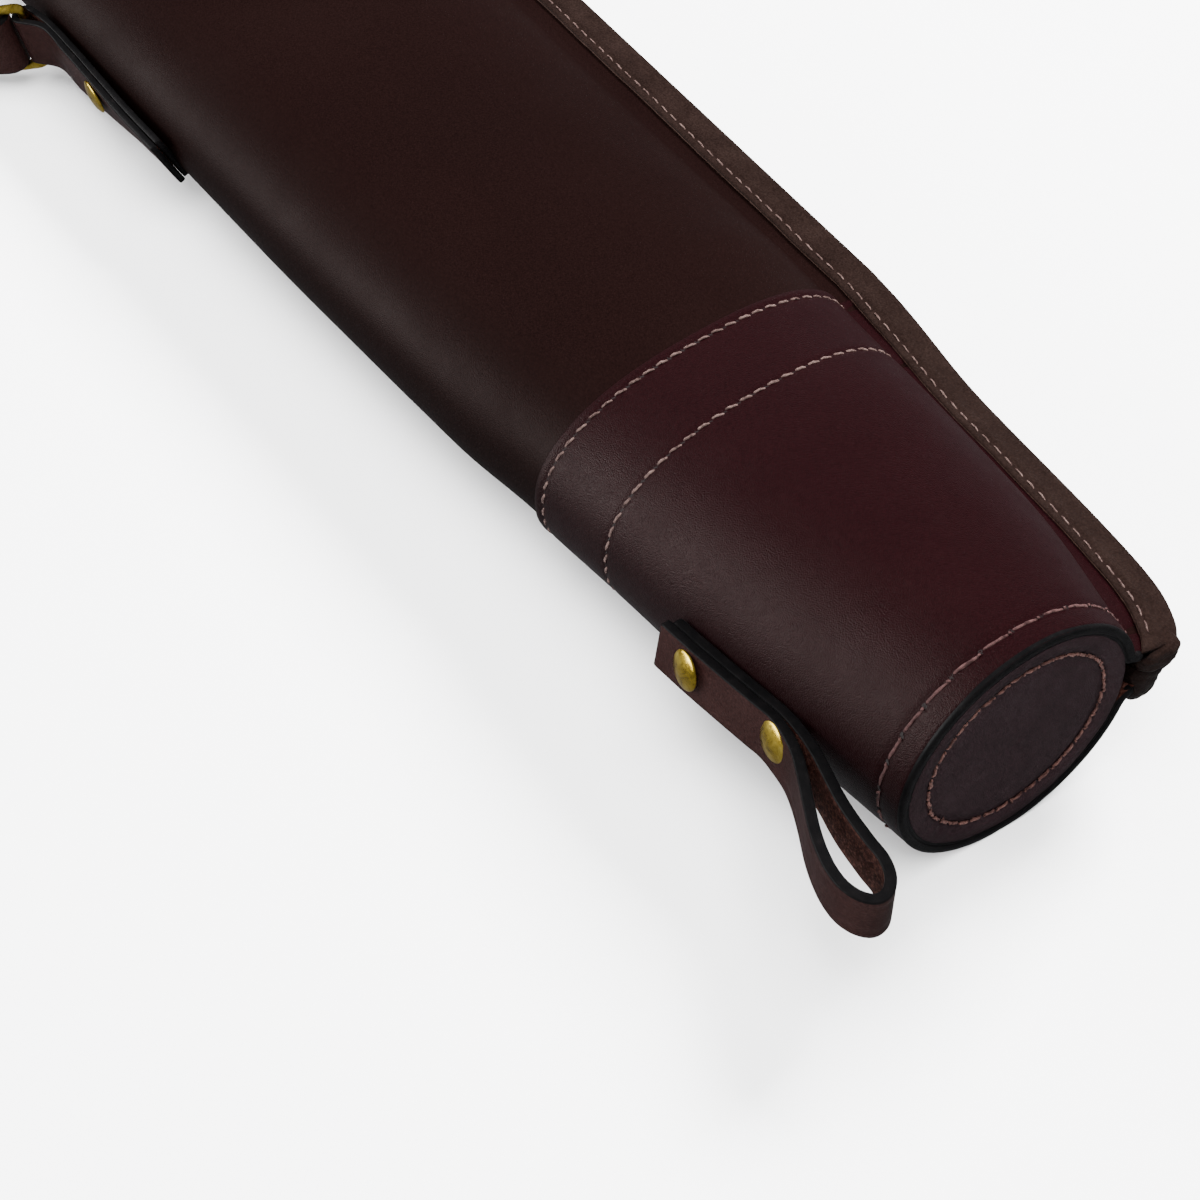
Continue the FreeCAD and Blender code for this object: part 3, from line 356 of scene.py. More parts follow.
def ramp(nt, src, stops, out="Color"):
    r = nt.nodes.new("ShaderNodeValToRGB")
    e = r.color_ramp.elements
    while len(e) < len(stops):
        e.new(0.5)
    for el, (pos, col) in zip(e, stops):
        el.position = pos
        el.color = (*col, 1) if len(col) == 3 else col
    nt.links.new(src, r.inputs[0])
    return r.outputs[0]


def mixrgb(nt, fac, a, b, mode="MIX"):
    m = nt.nodes.new("ShaderNodeMix")
    m.data_type = "RGBA"
    m.blend_type = mode
    for sock, val in ((m.inputs[0], fac), (m.inputs[6], a), (m.inputs[7], b)):
        if hasattr(val, "links"):
            nt.links.new(val, sock)
        elif np.isscalar(val):
            sock.default_value = val
        else:
            sock.default_value = (*val, 1) if len(val) == 3 else val
    return m.outputs[2]


def maths(nt, op, a, b=0.0, clamp=False):
    m = nt.nodes.new("ShaderNodeMath")
    m.operation = op
    m.use_clamp = clamp
    for sock, val in ((m.inputs[0], a), (m.inputs[1], b)):
        if hasattr(val, "links"):
            nt.links.new(val, sock)
        else:
            sock.default_value = val
    return m.outputs[0]


def tex_noise(nt, vec, scale, detail=3.0, rough=0.5, dist=0.0):
    n = nt.nodes.new("ShaderNodeTexNoise")
    n.inputs["Scale"].default_value = scale
    n.inputs["Detail"].default_value = detail
    n.inputs["Roughness"].default_value = rough
    n.inputs["Distortion"].default_value = dist
    nt.links.new(vec, n.inputs["Vector"])
    return n.outputs["Fac"]


def tex_cells(nt, vec, scale, feature="F1", smooth=0.0, rnd=1.0):
    n = nt.nodes.new("ShaderNodeTexVoronoi")
    n.feature = feature
    n.inputs["Scale"].default_value = scale
    n.inputs["Randomness"].default_value = rnd
    if feature == "SMOOTH_F1":
        n.inputs["Smoothness"].default_value = smooth
    nt.links.new(vec, n.inputs["Vector"])
    return n.outputs["Distance"]


def bump(nt, h, strength, dist, normal=None):
    b = nt.nodes.new("ShaderNodeBump")
    b.inputs["Strength"].default_value = strength
    b.inputs["Distance"].default_value = dist
    nt.links.new(h, b.inputs["Height"])
    if normal is not None:
        nt.links.new(normal, b.inputs["Normal"])
    return b.outputs[0]


def coords(nt, stretch=None):
    t = nt.nodes.new("ShaderNodeTexCoord")
    if stretch is None:
        return t.outputs["Object"]
    m = nt.nodes.new("ShaderNodeMapping")
    m.inputs["Scale"].default_value = stretch
    nt.links.new(t.outputs["Object"], m.inputs["Vector"])
    return m.outputs[0]


def leather(name, dark, mid, light, rough=(0.42, 0.6), grain=900.0, grain_depth=0.00022, coat=0.0, mottle=22.0, spec=0.5, sheen=0.0):
    """Finished leather: mottled dye, pebbled grain with fine pores and painted shade in its valleys, uneven polish."""
    m, nt, b = new_mat(name)
    v = coords(nt)
    big = tex_noise(nt, v, mottle, 5.0, 0.55, 0.4)
    fine = tex_noise(nt, v, 1500.0, 3.0, 0.6)
    col = ramp(nt, big, [(0.28, dark), (0.5, mid), (0.74, light)])
    col = mixrgb(nt, 0.5, col, ramp(nt, fine, [(0.3, tuple(c * 0.55 for c in dark)), (0.72, tuple(c * 1.25 for c in light))]), "MIX")
    cells = tex_cells(nt, v, grain, "SMOOTH_F1", 0.35)
    warp = tex_noise(nt, v, grain * 1.2, 2.0, 0.55)
    h = maths(nt, "ADD", maths(nt, "MULTIPLY", cells, -1.0), maths(nt, "MULTIPLY", warp, 0.5))
    # darker where the grain cells meet, in the valleys between the pebbles: painted shade
    crease = ramp(nt, cells, [(0.25, (1, 1, 1)), (0.75, (0.55, 0.5, 0.5))])
    col = mixrgb(nt, 0.6, col, crease, "MULTIPLY")
    nt.links.new(col, b.inputs["Base Color"])
    r = nt.nodes.new("ShaderNodeMapRange")
    r.inputs["From Min"].default_value, r.inputs["From Max"].default_value = 0.3, 0.7
    r.inputs["To Min"].default_value, r.inputs["To Max"].default_value = rough
    nt.links.new(tex_noise(nt, v, mottle * 3.1, 4.0, 0.6), r.inputs["Value"])
    nt.links.new(r.outputs[0], b.inputs["Roughness"])
    n1 = bump(nt, h, 1.0, grain_depth)
    n2 = bump(nt, tex_noise(nt, v, 45.0, 1.0, 0.4), 0.2, 0.0002, n1)
    nt.links.new(n2, b.inputs["Normal"])
    b.inputs["Specular IOR Level"].default_value = spec
    b.inputs["Specular Tint"].default_value = (1.0, 0.78, 0.74, 1)
    if coat:
        b.inputs["Coat Weight"].default_value = coat
        b.inputs["Coat Roughness"].default_value = 0.32
    if sheen:
        b.inputs["Sheen Weight"].default_value = sheen
        b.inputs["Sheen Roughness"].default_value = 0.5
    return m


def srgb(r, g, b):
    f = lambda c: (c / 255 / 12.92) if c / 255 <= 0.04045 else ((c / 255 + 0.055) / 1.055) ** 2.4
    return (f(r), f(g), f(b))


M_BODY = leather("Body leather", (0.0031, 0.00124, 0.00114), (0.0037, 0.00146, 0.00132), (0.0044, 0.00185, 0.00165), (0.42, 0.54), 2600.0, 0.00007, mottle=14.0, spec=0.04)
M_CAP = leather("Oxblood cap leather", (0.0036, 0.00064, 0.00094), (0.0047, 0.00093, 0.00128), (0.0060, 0.0014, 0.0018), (0.36, 0.5), 2600.0, 0.00014, mottle=18.0, spec=0.11)
M_BIND = leather("Binding leather", (0.0040, 0.0021, 0.0017), (0.0060, 0.0033, 0.0027), (0.0098, 0.0058, 0.0048), (0.46, 0.6), 1700.0, 0.00009, mottle=90.0, spec=0.09)
# a darker copy of the binding leather for the lower end fold: painted shade
M_LOWER_FOLD_SHADED = leather("Folded binding end in painted shade", (0.0018, 0.0009, 0.0007), (0.0034, 0.0018, 0.0014), (0.0075, 0.0042, 0.0034), (0.4, 0.55), 1700.0, 0.00009, mottle=160.0, spec=0.12)
M_STRAP = leather("Strap leather", (0.0078, 0.0028, 0.0027), (0.0128, 0.0050, 0.0046), (0.0185, 0.0082, 0.0074), (0.4, 0.54), 1700.0, 0.00005, mottle=45.0, spec=0.06)
M_DISC = leather("End disc leather", (0.0080, 0.0038, 0.0050), (0.0110, 0.0054, 0.0070), (0.0150, 0.0080, 0.0098), (0.5, 0.62), 2000.0, 0.00007, mottle=60.0, spec=0.05)


def black_edge():
    m, nt, b = new_mat("Painted edge")
    v = coords(nt)
    col = ramp(nt, tex_noise(nt, v, 260.0, 5.0, 0.65), [(0.3, (0.0012, 0.0012, 0.0013)), (0.62, (0.0022, 0.0020, 0.0021)), (0.85, (0.006, 0.005, 0.005))])
    nt.links.new(col, b.inputs["Base Color"])
    b.inputs["Roughness"].default_value = 0.4
    b.inputs["Specular IOR Level"].default_value = 0.05
    n1 = bump(nt, tex_noise(nt, coords(nt, (1, 1, 1)), 900.0, 4.0, 0.7), 0.8, 0.00015)
    nt.links.new(n1, b.inputs["Normal"])
    return m


def flesh():
    m, nt, b = new_mat("Flesh side")
    v = coords(nt)
    f = tex_noise(nt, v, 900.0, 6.0, 0.75, 0.6)
    col = ramp(nt, f, [(0.3, (0.004, 0.0013, 0.0011)), (0.5, (0.022, 0.0078, 0.006)), (0.72, (0.095, 0.042, 0.032))])
    nt.links.new(col, b.inputs["Base Color"])
    b.inputs["Roughness"].default_value = 0.95
    b.inputs["Specular IOR Level"].default_value = 0.05
    nt.links.new(bump(nt, f, 1.0, 0.0009), b.inputs["Normal"])
    return m


def raw_edge():
    m, nt, b = new_mat("Raw cut edge")
    v = coords(nt)
    f = tex_noise(nt, v, 1200.0, 5.0, 0.7)
    col = ramp(nt, f, [(0.3, (0.016, 0.006, 0.0036)), (0.6, (0.06, 0.024, 0.013)), (0.85, (0.13, 0.062, 0.036))])
    nt.links.new(col, b.inputs["Base Color"])
    b.inputs["Roughness"].default_value = 0.9
    nt.links.new(bump(nt, f, 1.0, 0.0006), b.inputs["Normal"])
    return m


def thread(name="Thread", a=(34, 24, 23), c=(86, 70, 66)):
    m, nt, b = new_mat(name)
    v = coords(nt)
    col = ramp(nt, tex_noise(nt, v, 700.0, 4.0, 0.6), [(0.3, srgb(*a)), (0.7, srgb(*c))])
    nt.links.new(col, b.inputs["Base Color"])
    b.inputs["Roughness"].default_value = 0.75
    b.inputs["Specular IOR Level"].default_value = 0.08
    nt.links.new(bump(nt, tex_noise(nt, v, 2600.0, 3.0, 0.7), 0.9, 0.0003), b.inputs["Normal"])
    return m


def brass(name="Worn brass", dull=0.0):
    m, nt, b = new_mat(name)
    v = coords(nt)
    wear = tex_noise(nt, v, 260.0, 6.0, 0.7, 0.5)
    col = ramp(nt, wear, [(0.3, srgb(118, 96, 28)), (0.5, srgb(186, 158, 58)), (0.72, srgb(222, 198, 98))])
    spots = ramp(nt, tex_noise(nt, v, 900.0, 3.0, 0.6), [(0.28, (0.35, 0.28, 0.2)), (0.42, (1, 1, 1))])
    nt.links.new(mixrgb(nt, 0.6, col, spots, "MULTIPLY"), b.inputs["Base Color"])
    b.inputs["Metallic"].default_value = 1.0
    r = nt.nodes.new("ShaderNodeMapRange")
    r.inputs["To Min"].default_value, r.inputs["To Max"].default_value = 0.16 + dull, 0.42 + dull
    nt.links.new(wear, r.inputs["Value"])
    nt.links.new(r.outputs[0], b.inputs["Roughness"])
    scr = tex_noise(nt, coords(nt, (1.0, 1.0, 0.12)), 2400.0, 4.0, 0.7)
    nt.links.new(bump(nt, scr, 0.35, 0.00012), b.inputs["Normal"])
    return m


def plain(name, rgb, rough=0.8):
    m, nt, b = new_mat(name)
    v = coords(nt)
    f = tex_noise(nt, v, 800.0, 4.0, 0.6)
    nt.links.new(ramp(nt, f, [(0.3, tuple(c * 0.7 for c in rgb)), (0.7, tuple(min(1, c * 1.25) for c in rgb))]), b.inputs["Base Color"])
    b.inputs["Roughness"].default_value = rough
    nt.links.new(bump(nt, f, 0.6, 0.0003), b.inputs["Normal"])
    return m


M_EDGE, M_FLESH, M_RAW, M_THREAD, M_BRASS = black_edge(), flesh(), raw_edge(), thread(), brass()
M_THREAD_DARK = thread("Cap rim thread", (28, 17, 17), (68, 48, 47))
M_THREAD_DISC = thread("End disc thread", (34, 20, 19), (82, 57, 52))
# near-black for the needle holes: painted shade in place of the holes' depth
M_HOLE_SHADE = plain("Needle hole", (0.006, 0.004, 0.004), 0.9)
M_RAWDARK = leather("Cut binding edge", (0.018, 0.0095, 0.0075), (0.036, 0.02, 0.016), (0.07, 0.042, 0.034), (0.6, 0.8), 1400.0, 0.0001, mottle=200.0, spec=0.2)
M_TAPE = plain("Zip tape", (0.018, 0.014, 0.013), 0.85)
M_FLEECE = plain("Fleece pile", (0.50, 0.42, 0.31), 1.0)
M_BOARD = plain("Fibre board", (0.22, 0.13, 0.07), 0.9)
M_FELT = plain("Felt pad", (0.22, 0.20, 0.18), 1.0)
KEY, SIDE, FILL, WORLD = 95.0, 330.0, 330.0, 0.32


# ------------------------------------------------------------------ body leather
def stations(cuts, fine=0.7, span=4.0, step=2.5):
    """Stations from 0 to the mouth: fine near the lines in cuts, step up to 480 mm, wider beyond."""
    s = [0.0]
    while s[-1] < 1200:
        d = step if s[-1] < 480 else 7.0
        if any(abs(s[-1] - c) < span for c in cuts):
            d = fine
        s.append(s[-1] + d)
    s[-1] = 1200.0
    return np.array(s)


def tube_soft(p3, n3, amount):
    """Low soft unevenness of hand-worked leather."""
    w = amount * (nz(p3, 70.0, 3.1) * 0.7 + nz(p3, 28.0, 9.2) * 0.3)
    return p3 + n3 * w[:, None]


def sheet(name, ss, prof, thick, mats, edge_mat=1, inner_mat=2, unevenness=0.0, dent=None, roll=0.45, body="case_body"):
    """A leather sheet along the case: prof(s) gives its outer line. Closed, with flat cut edges."""
    rows_o, rows_n, S = [], [], []
    for s in ss:
        p = prof(s)
        rows_o.append(p)
        rows_n.append(normals2(p))
    P = np.array(rows_o)
    NN = np.array(rows_n)
    nu, nv = P.shape[:2]
    s2 = np.repeat(np.asarray(ss)[:, None], nv, 1)
    if P.shape[2] == 3:
        s2 = P[:, :, 2]
        P = P[:, :, :2]
    out3 = np.stack([s2, P[:, :, 0], P[:, :, 1]], -1).reshape(-1, 3)
    n3 = np.stack([np.zeros_like(s2), NN[:, :, 0], NN[:, :, 1]], -1).reshape(-1, 3)
    disp = np.zeros(len(out3))
    if unevenness:
        disp += unevenness * (nz(out3, 70.0, 3.1) * 0.7 + nz(out3, 28.0, 9.2) * 0.3)
    if dent is not None:
        disp += dent(out3)
    outer = out3 + n3 * disp[:, None]
    inner = out3 - n3 * thick
    # flat edge faces close both long sides and both ends
    verts = np.vstack([outer, inner])
    faces = grid_faces(nu, nv)
    idx = [0] * len(faces)
    m = nu * nv
    faces += [[a + m, d + m, c + m, b + m] for a, b, c, d in grid_faces(nu, nv)]
    idx += [inner_mat] * (len(faces) - len(idx))
    for i in range(nu - 1):
        for j, flip in ((0, 1), (nv - 1, 0)):
            a, b = i * nv + j, (i + 1) * nv + j
            faces.append([a, a + m, b + m, b] if flip else [b, b + m, a + m, a])
            idx.append(edge_mat)
    for j in range(nv - 1):
        for i, flip in ((0, 0), (nu - 1, 1)):
            a, b = i * nv + j, i * nv + j + 1
            faces.append([a, a + m, b + m, b] if flip else [b, b + m, a + m, a])
            idx.append(edge_mat)
    return make(name, W(verts[:, 0], verts[:, 1], verts[:, 2]), faces, mats, idx, body=body)


NB = 260
body_ss = stations([150.0], 1.2, 8.0)
body = sheet("body_leather", body_ss, lambda s: profile(s, n=NB), T_BODY, [M_BODY, M_EDGE, M_FLESH], unevenness=0.22)
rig.replaces(body, "body_tip_length", "body_front_length", "body_barrel_length", "body_middle_length", "body_butt_length", "body_mouth_length")
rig.slot(body, "body_leather")


# ------------------------------------------------------------------ tip cap
def cap_profile(s, n=240, off=0.0):
    """Cap's outer line: rides on the body and stops under the bindings."""
    p = profile(s, off, 420)
    zs = seam_z(s)
    top = np.argmax(p[:, 1] > zs + lip_out(s) * 0.5 + 0.0)
    # trim where the binding covers it
    d = np.concatenate([[0], np.cumsum(np.linalg.norm(np.diff(p, axis=0), axis=1))])
    keep = (d > 6.0) & (d < d[-1] - 6.0)
    q = resample(p[keep], n)
    return q


def cap_skew(s, y):
    k = np.clip((s - 30.0) / 70.0, 0, 1)
    return s + SKEW * (y + 55.0) * k * k * (3 - 2 * k)


ROW_1, ROW_2, ROW_RIM = 143.5, 115.0, 8.0


def cap_line(s, n=240):
    q = cap_profile(min(s, 200), n)
    sk = cap_skew(s, q[:, 0])
    # follow the body where the skewed cap lies further back
    for _ in range(1):
        z = np.empty(n)
        y = np.empty(n)
        lo, hi = cap_profile(s, n), cap_profile(s + 12.0, n)
        f = ((sk - s) / 12.0)[:, None]
        q = lo * (1 - f) + hi * f
        off = np.array([T_CAP - cap_under(v) for v in sk])
        nn = normals2(q)
        q = q + nn * off[:, None]
        sk = cap_skew(s, q[:, 0])
    return np.column_stack([q, sk])


def cap_dent(p):
    """Lines of stitching pulled into the cap, and its worn front edge."""
    base = p[:, 0] - SKEW * (p[:, 1] + 55.0) * np.clip((p[:, 0] - 30) / 70, 0, 1)
    d = np.zeros(len(p))
    for row, depth, w in ((ROW_1, 0.30, 1.1), (ROW_2, 0.42, 1.2), (ROW_RIM, 0.5, 1.6)):
        d -= depth * np.exp(-((base - row) / w) ** 2)
    d += 0.18 * np.exp(-((base - (ROW_1 + 2.2)) / 1.0) ** 2)
    return d


cap_ss = np.unique(np.concatenate([np.arange(0, CAP_LEN, 2.2), np.arange(ROW_1 - 4, CAP_LEN, 0.45), np.arange(ROW_2 - 4, ROW_2 + 4, 0.5),
                                   np.arange(ROW_RIM - 6, ROW_RIM + 5, 0.5), [CAP_LEN]]))
cap_ss = cap_ss[np.concatenate([[True], np.diff(cap_ss) > 0.2])]
cap = sheet("tip_cap_leather", cap_ss, lambda s: cap_line(s, 260), T_CAP + 0.1, [M_CAP, M_EDGE, M_FLESH], unevenness=0.25, dent=cap_dent)
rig.replaces(cap, "tip_cap")
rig.slot(cap, "cap_leather")

# ------------------------------------------------------------------ rim: the cut ends of body and cap, painted black and burnished
def loop_mesh(name, rings, mats, index=None, body="case_body", close_u=True):
    """Closed tube of equal rings."""
    nu, nv = len(rings), len(rings[0])
    f = grid_faces(nu, nv, close_v=True, close_u=close_u)
    v = np.vstack(rings)
    if not close_u:
        f = f + [list(range(nv))[::-1], [(nu - 1) * nv + k for k in range(nv)]]
        if index is not None:
            index = list(index) + [index[0], index[-1]]
    o = make(name, v, f, mats, index, True, body)
    return outward(o)


def rim_section(s=0.0):
    """Middle line of the rim, its outward normals."""
    p = soften(cap_line(0.0, 300)[:, :2], 300, 1.0)
    return p, normals2(p)


rp, rn = rim_section()
rings = []
for k in range(len(rp)):
    if abs(rp[k][1] - seam_z(0.0)) < 8.0 and rp[k][0] > 0:
        continue                              # the painted edge ends where the lips begin
    w = 1.25 + 0.10 * math.sin(k * 0.11) * math.cos(k * 0.043)
    ring = []
    for a in np.linspace(0, 2 * math.pi, 16, endpoint=False):
        off = math.cos(a) * (w + 0.1)
        out = math.sin(a)
        depth = 0.95 * (abs(out) ** 0.6) * (1 if out > 0 else -1)
        c = rp[k] - rn[k] * (w - off)
        ring.append((0.35 - depth + (0.5 if out < 0 else 0), c[0], c[1]))
    ring = np.array(ring)
    rings.append(W(ring[:, 0], ring[:, 1], ring[:, 2]))
rim = loop_mesh("tip_painted_rim", rings, [M_EDGE], close_u=False)
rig.slot(rim, "cap_leather")


# ------------------------------------------------------------------ stitching
def stitch(parts, a, b, nrm, r=0.42, lift=0.28, sink=0.35, mat=0, twist=5.0, seed=0.0, rings_n=11, sides=8):
    """One stitch of two-ply thread from a to b (mm), diving into the leather at both ends."""
    a, b, nrm = (np.asarray(q, float) for q in (a, b, nrm))
    t = b - a
    L = np.linalg.norm(t)
    t = t / L
    nrm = nrm - t * np.dot(nrm, t)
    nrm /= np.linalg.norm(nrm)
    side = np.cross(t, nrm)
    V = []
    for i in range(rings_n):
        u = i / (rings_n - 1)
        e = math.sin(math.pi * min(max(u, 0.0), 1.0)) ** 0.45 if 0 < u < 1 else 0.0
        c = a + t * L * u + nrm * (lift * e - sink * (1 - e)) + side * 0.05 * math.sin(u * 7 + seed)
        rr = r * (0.55 + 0.45 * e)
        for k in range(sides):
            th = 2 * math.pi * k / sides
            q = rr * (1 + 0.16 * math.cos(2 * th + twist * u * 2 * math.pi + seed))
            V.append(c + (side * math.cos(th) + nrm * math.sin(th) * 0.85) * q)
    V = np.array(V)
    F = grid_faces(rings_n, sides, close_v=True)
    F.append(list(range(sides))[::-1])
    F.append([(rings_n - 1) * sides + k for k in range(sides)])
    parts.add(V, F, mat)


def pit(parts, c, nrm, along, r=0.5, mat=1):
    """Needle hole: a small dish painted dark, painted shade standing in for the hole's depth."""
    c, nrm, along = (np.asarray(q, float) for q in (c, nrm, along))
    along = along - nrm * np.dot(along, nrm)
    along /= np.linalg.norm(along)
    side = np.cross(along, nrm)
    V = [c - nrm * 0.12]
    for k in range(8):
        th = 2 * math.pi * k / 8
        V.append(c + nrm * 0.05 + (along * math.cos(th) * 1.25 + side * math.sin(th)) * r)
    parts.add(np.array(V), [[0, 1 + k, 1 + (k + 1) % 8] for k in range(8)], mat)


def mm_build(parts, name, mats, body="case_body"):
    v = np.vstack(parts.v)
    parts.v = [W(v[:, 0], v[:, 1], v[:, 2])]
    o = parts.build(name, mats, True, body)
    return outward(o)


RNG = np.random.default_rng(7)


def surface_row(name, line, s0, pitch, fill, slant, r, lift, mats, d0=10.0, d1=8.0, hole=0.5, knots=0.0, dent=0.3):
    """Stitches across the tube along line(s0). line gives rows of (y, z, s)."""
    L0 = line(s0)
    Lp, Lm = line(s0 + 1.0), line(s0 - 1.0)
    pos = np.column_stack([L0[:, 2], L0[:, 0], L0[:, 1]])
    dpos = (np.column_stack([Lp[:, 2], Lp[:, 0], Lp[:, 1]]) - np.column_stack([Lm[:, 2], Lm[:, 0], Lm[:, 1]])) / 2
    n2 = normals2(L0[:, :2])
    n3 = np.column_stack([np.zeros(len(n2)), n2])
    d = np.concatenate([[0], np.cumsum(np.linalg.norm(np.diff(pos, axis=0), axis=1))])

    def at(dist, ds):
        f = [np.interp(dist, d, pos[:, k]) + ds * np.interp(dist, d, dpos[:, k]) for k in range(3)]
        g = np.array([np.interp(dist, d, n3[:, k]) for k in range(3)])
        return np.array(f) - g * dent, g / np.linalg.norm(g)

    P = Parts()
    count = int((d[-1] - d0 - d1) / pitch)
    for i in range(count):
        c = d0 + (i + 0.5) * pitch + RNG.normal(0, 0.12)
        h = pitch * fill / 2 * (1 + RNG.normal(0, 0.04))
        k = slant * (1 + RNG.normal(0, 0.2)) + RNG.normal(0, 0.08)
        a, na = at(c - h, -k)
        b, nb = at(c + h, k)
        stitch(P, a, b, na + nb, r * (1 + RNG.normal(0, 0.06)), lift, 0.3, 0, 2.2, i * 1.7)
        if hole:
            pit(P, a - (b - a) * 0.06, na, b - a, hole)
            pit(P, b + (b - a) * 0.06, nb, b - a, hole)
        if knots and i % 1 == 0:
            q = (a + na * 0.3) + (b - a) * (0.02 + 0.05 * RNG.random())
            for _ in range(2):
                w = RNG.normal(0, 0.35, 3)
                stitch(P, q + w - nb * 0.2, q - w * 0.6 + nb * 0.2, na + RNG.normal(0, 0.2, 3), knots, 0.25, 0.1, 0, 1.0, i, 6, 6)
    return mm_build(P, name, mats)


row1 = surface_row("cap_front_stitching", lambda s: cap_line(s, 260), ROW_1, 5.1, 0.80, 0.42, 0.44, 0.25, [M_THREAD, M_HOLE_SHADE], dent=0.25, hole=0.62)
row2 = surface_row("cap_second_stitching", lambda s: cap_line(s, 260), ROW_2, 5.1, 0.80, 0.42, 0.46, 0.22, [M_THREAD, M_HOLE_SHADE], dent=0.38, hole=0.62)
row3 = surface_row("cap_rim_stitching", lambda s: cap_line(s, 260), ROW_RIM, 9.8, 0.86, 0.25, 0.5, 0.25, [M_THREAD_DARK, M_HOLE_SHADE], dent=0.42, knots=0.36)
for o in (row1, row2, row3):
    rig.slot(o, "cap_leather")


# ------------------------------------------------------------------ edge bindings
def bind_poly(s, up):
    """Section of one binding leaf over its lip: closed polygon with fixed count and a material per side."""
    off = cap_under(s)
    zs, yo, ho = seam_z(s), seam_y(s) - T_BIND, lip_out(s)
    au = root_angle(s, off, zs + LIP_ROOT)
    al = root_angle(s, off, zs - LIP_ROOT)
    aui = root_angle(s, off + T_BODY, zs + LIP_ROOT - T_BODY)
    ali = root_angle(s, off + T_BODY, zs - LIP_ROOT + T_BODY)
    yr, zr = tube(s, off, np.array([au if up > 0 else al]))[0]
    yri, zri = tube(s, off + T_BODY, np.array([aui if up > 0 else ali]))[0]
    hr, hri = abs(zr - zs), abs(zri - zs)
    edge = seam_y(s)
    yb = max(edge - BIND_W, yr + 0.4)
    yi = max(edge - BIND_IN_W, yri + 0.5)
    zo = lambda y: hr + (ho - hr) * (y - yr) / (yo - yr) + 0.04
    zi = lambda y: hri + (ho - T_BODY - hri) * (y - yri) / (yo - yri) - 0.04
    wob = 0.35 * noise.noise(Vector((s / 22.0, up * 3.0, 1.7))) + 0.12 * noise.noise(Vector((s / 6.0, up * 5.0, 4.7)))
    yb += wob
    rise = T_BIND * (1.0 + 0.03 * noise.noise(Vector((s / 5.0, up, 0.0))))
    m = 14
    ys = np.linspace(yb, edge - 1.1, m)
    stitch_y = yb + 3.1
    crease = -0.34 * np.exp(-((ys - stitch_y) / 0.9) ** 2) + 0.16 * np.exp(-((ys - stitch_y - 2.3) / 1.3) ** 2) - 0.30 * np.exp(-((ys - yb) / 0.5) ** 2)
    top = np.column_stack([ys, [zo(y) + rise for y in ys] + crease])
    a = np.linspace(0.15, 0.5, 4) * math.pi
    nose = [(edge - 1.1 + 1.1 * math.sin(q), ho + rise - 1.1 + 1.1 * math.cos(q)) for q in a]
    low = ho - T_BODY - T_BIND_IN
    nose2 = [(edge - 0.35 + 0.35 * math.cos(q), low + 0.35 - 0.35 * math.sin(q)) for q in np.linspace(0, 0.5, 3) * math.pi]
    ins = [(yi + 3, zi(yi + 3) - T_BIND_IN), (yi, zi(yi) - T_BIND_IN), (yi, zi(yi)), (yo + 0.05, ho - T_BODY - 0.04), (yo + 0.05, ho + 0.04), (yb + 0.02, zo(yb))]
    pts = np.vstack([top, nose, nose2, ins])
    mats = [0] * (len(pts) - 1) + [1]
    mats[m + 4 + 3 + 1] = 1
    return np.column_stack([np.full(len(pts), s), pts[:, 0], zs + up * pts[:, 1]]), mats, stitch_y, zo(stitch_y) + rise - 0.34


bind_ss = np.concatenate([np.arange(0, 480, 1.6), np.arange(480, 1200, 5.0), [1200.0]])
for nm, up, cadn in (("upper_binding", 1, "upper_edge_binding"), ("lower_binding", -1, "lower_edge_binding")):
    rings, idx = [], []
    for s in bind_ss:
        q, mt, _, _ = bind_poly(s, up)
        if s == 0.0:
            q[:, 0] -= 0.0
        rings.append(W(q[:, 0], q[:, 1], q[:, 2]))
    idx = (mt * (len(rings) - 1))
    o = loop_mesh(nm, rings, [M_BIND, M_RAWDARK], idx, close_u=False)
    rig.replaces(o, cadn)
    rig.slot(o, "binding_leather")
    P = Parts()
    s = 5.0
    i = 0
    while s < 1196:
        L = 4.2 if s < 480 else 4.2
        _, _, y0, z0 = bind_poly(s, up)
        _, _, y1, z1 = bind_poly(s + L, up)
        nrm = np.array([0, -0.12 if up > 0 else -0.12, up * 1.0])
        a = np.array([s, y0 - 0.10, seam_z(s) + up * z0])
        b = np.array([s + L, y1 + 0.14, seam_z(s + L) + up * z1])
        stitch(P, a, b, nrm, 0.30 * (1 + RNG.normal(0, 0.06)), 0.24, 0.25, 0, 2.2, i * 1.3, 9 if s < 480 else 5, 7 if s < 480 else 5)
        pit(P, a - (b - a) * 0.07, nrm / np.linalg.norm(nrm), b - a, 0.34)
        s += 5.3 + RNG.normal(0, 0.12)
        i += 1
    t = mm_build(P, nm + "_stitching", [M_THREAD, M_HOLE_SHADE])
    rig.slot(t, "binding_leather")


# the two bindings are folded over the lips' ends at the tip and pinched together
def spow(v, e):
    return math.copysign(abs(v) ** e, v)


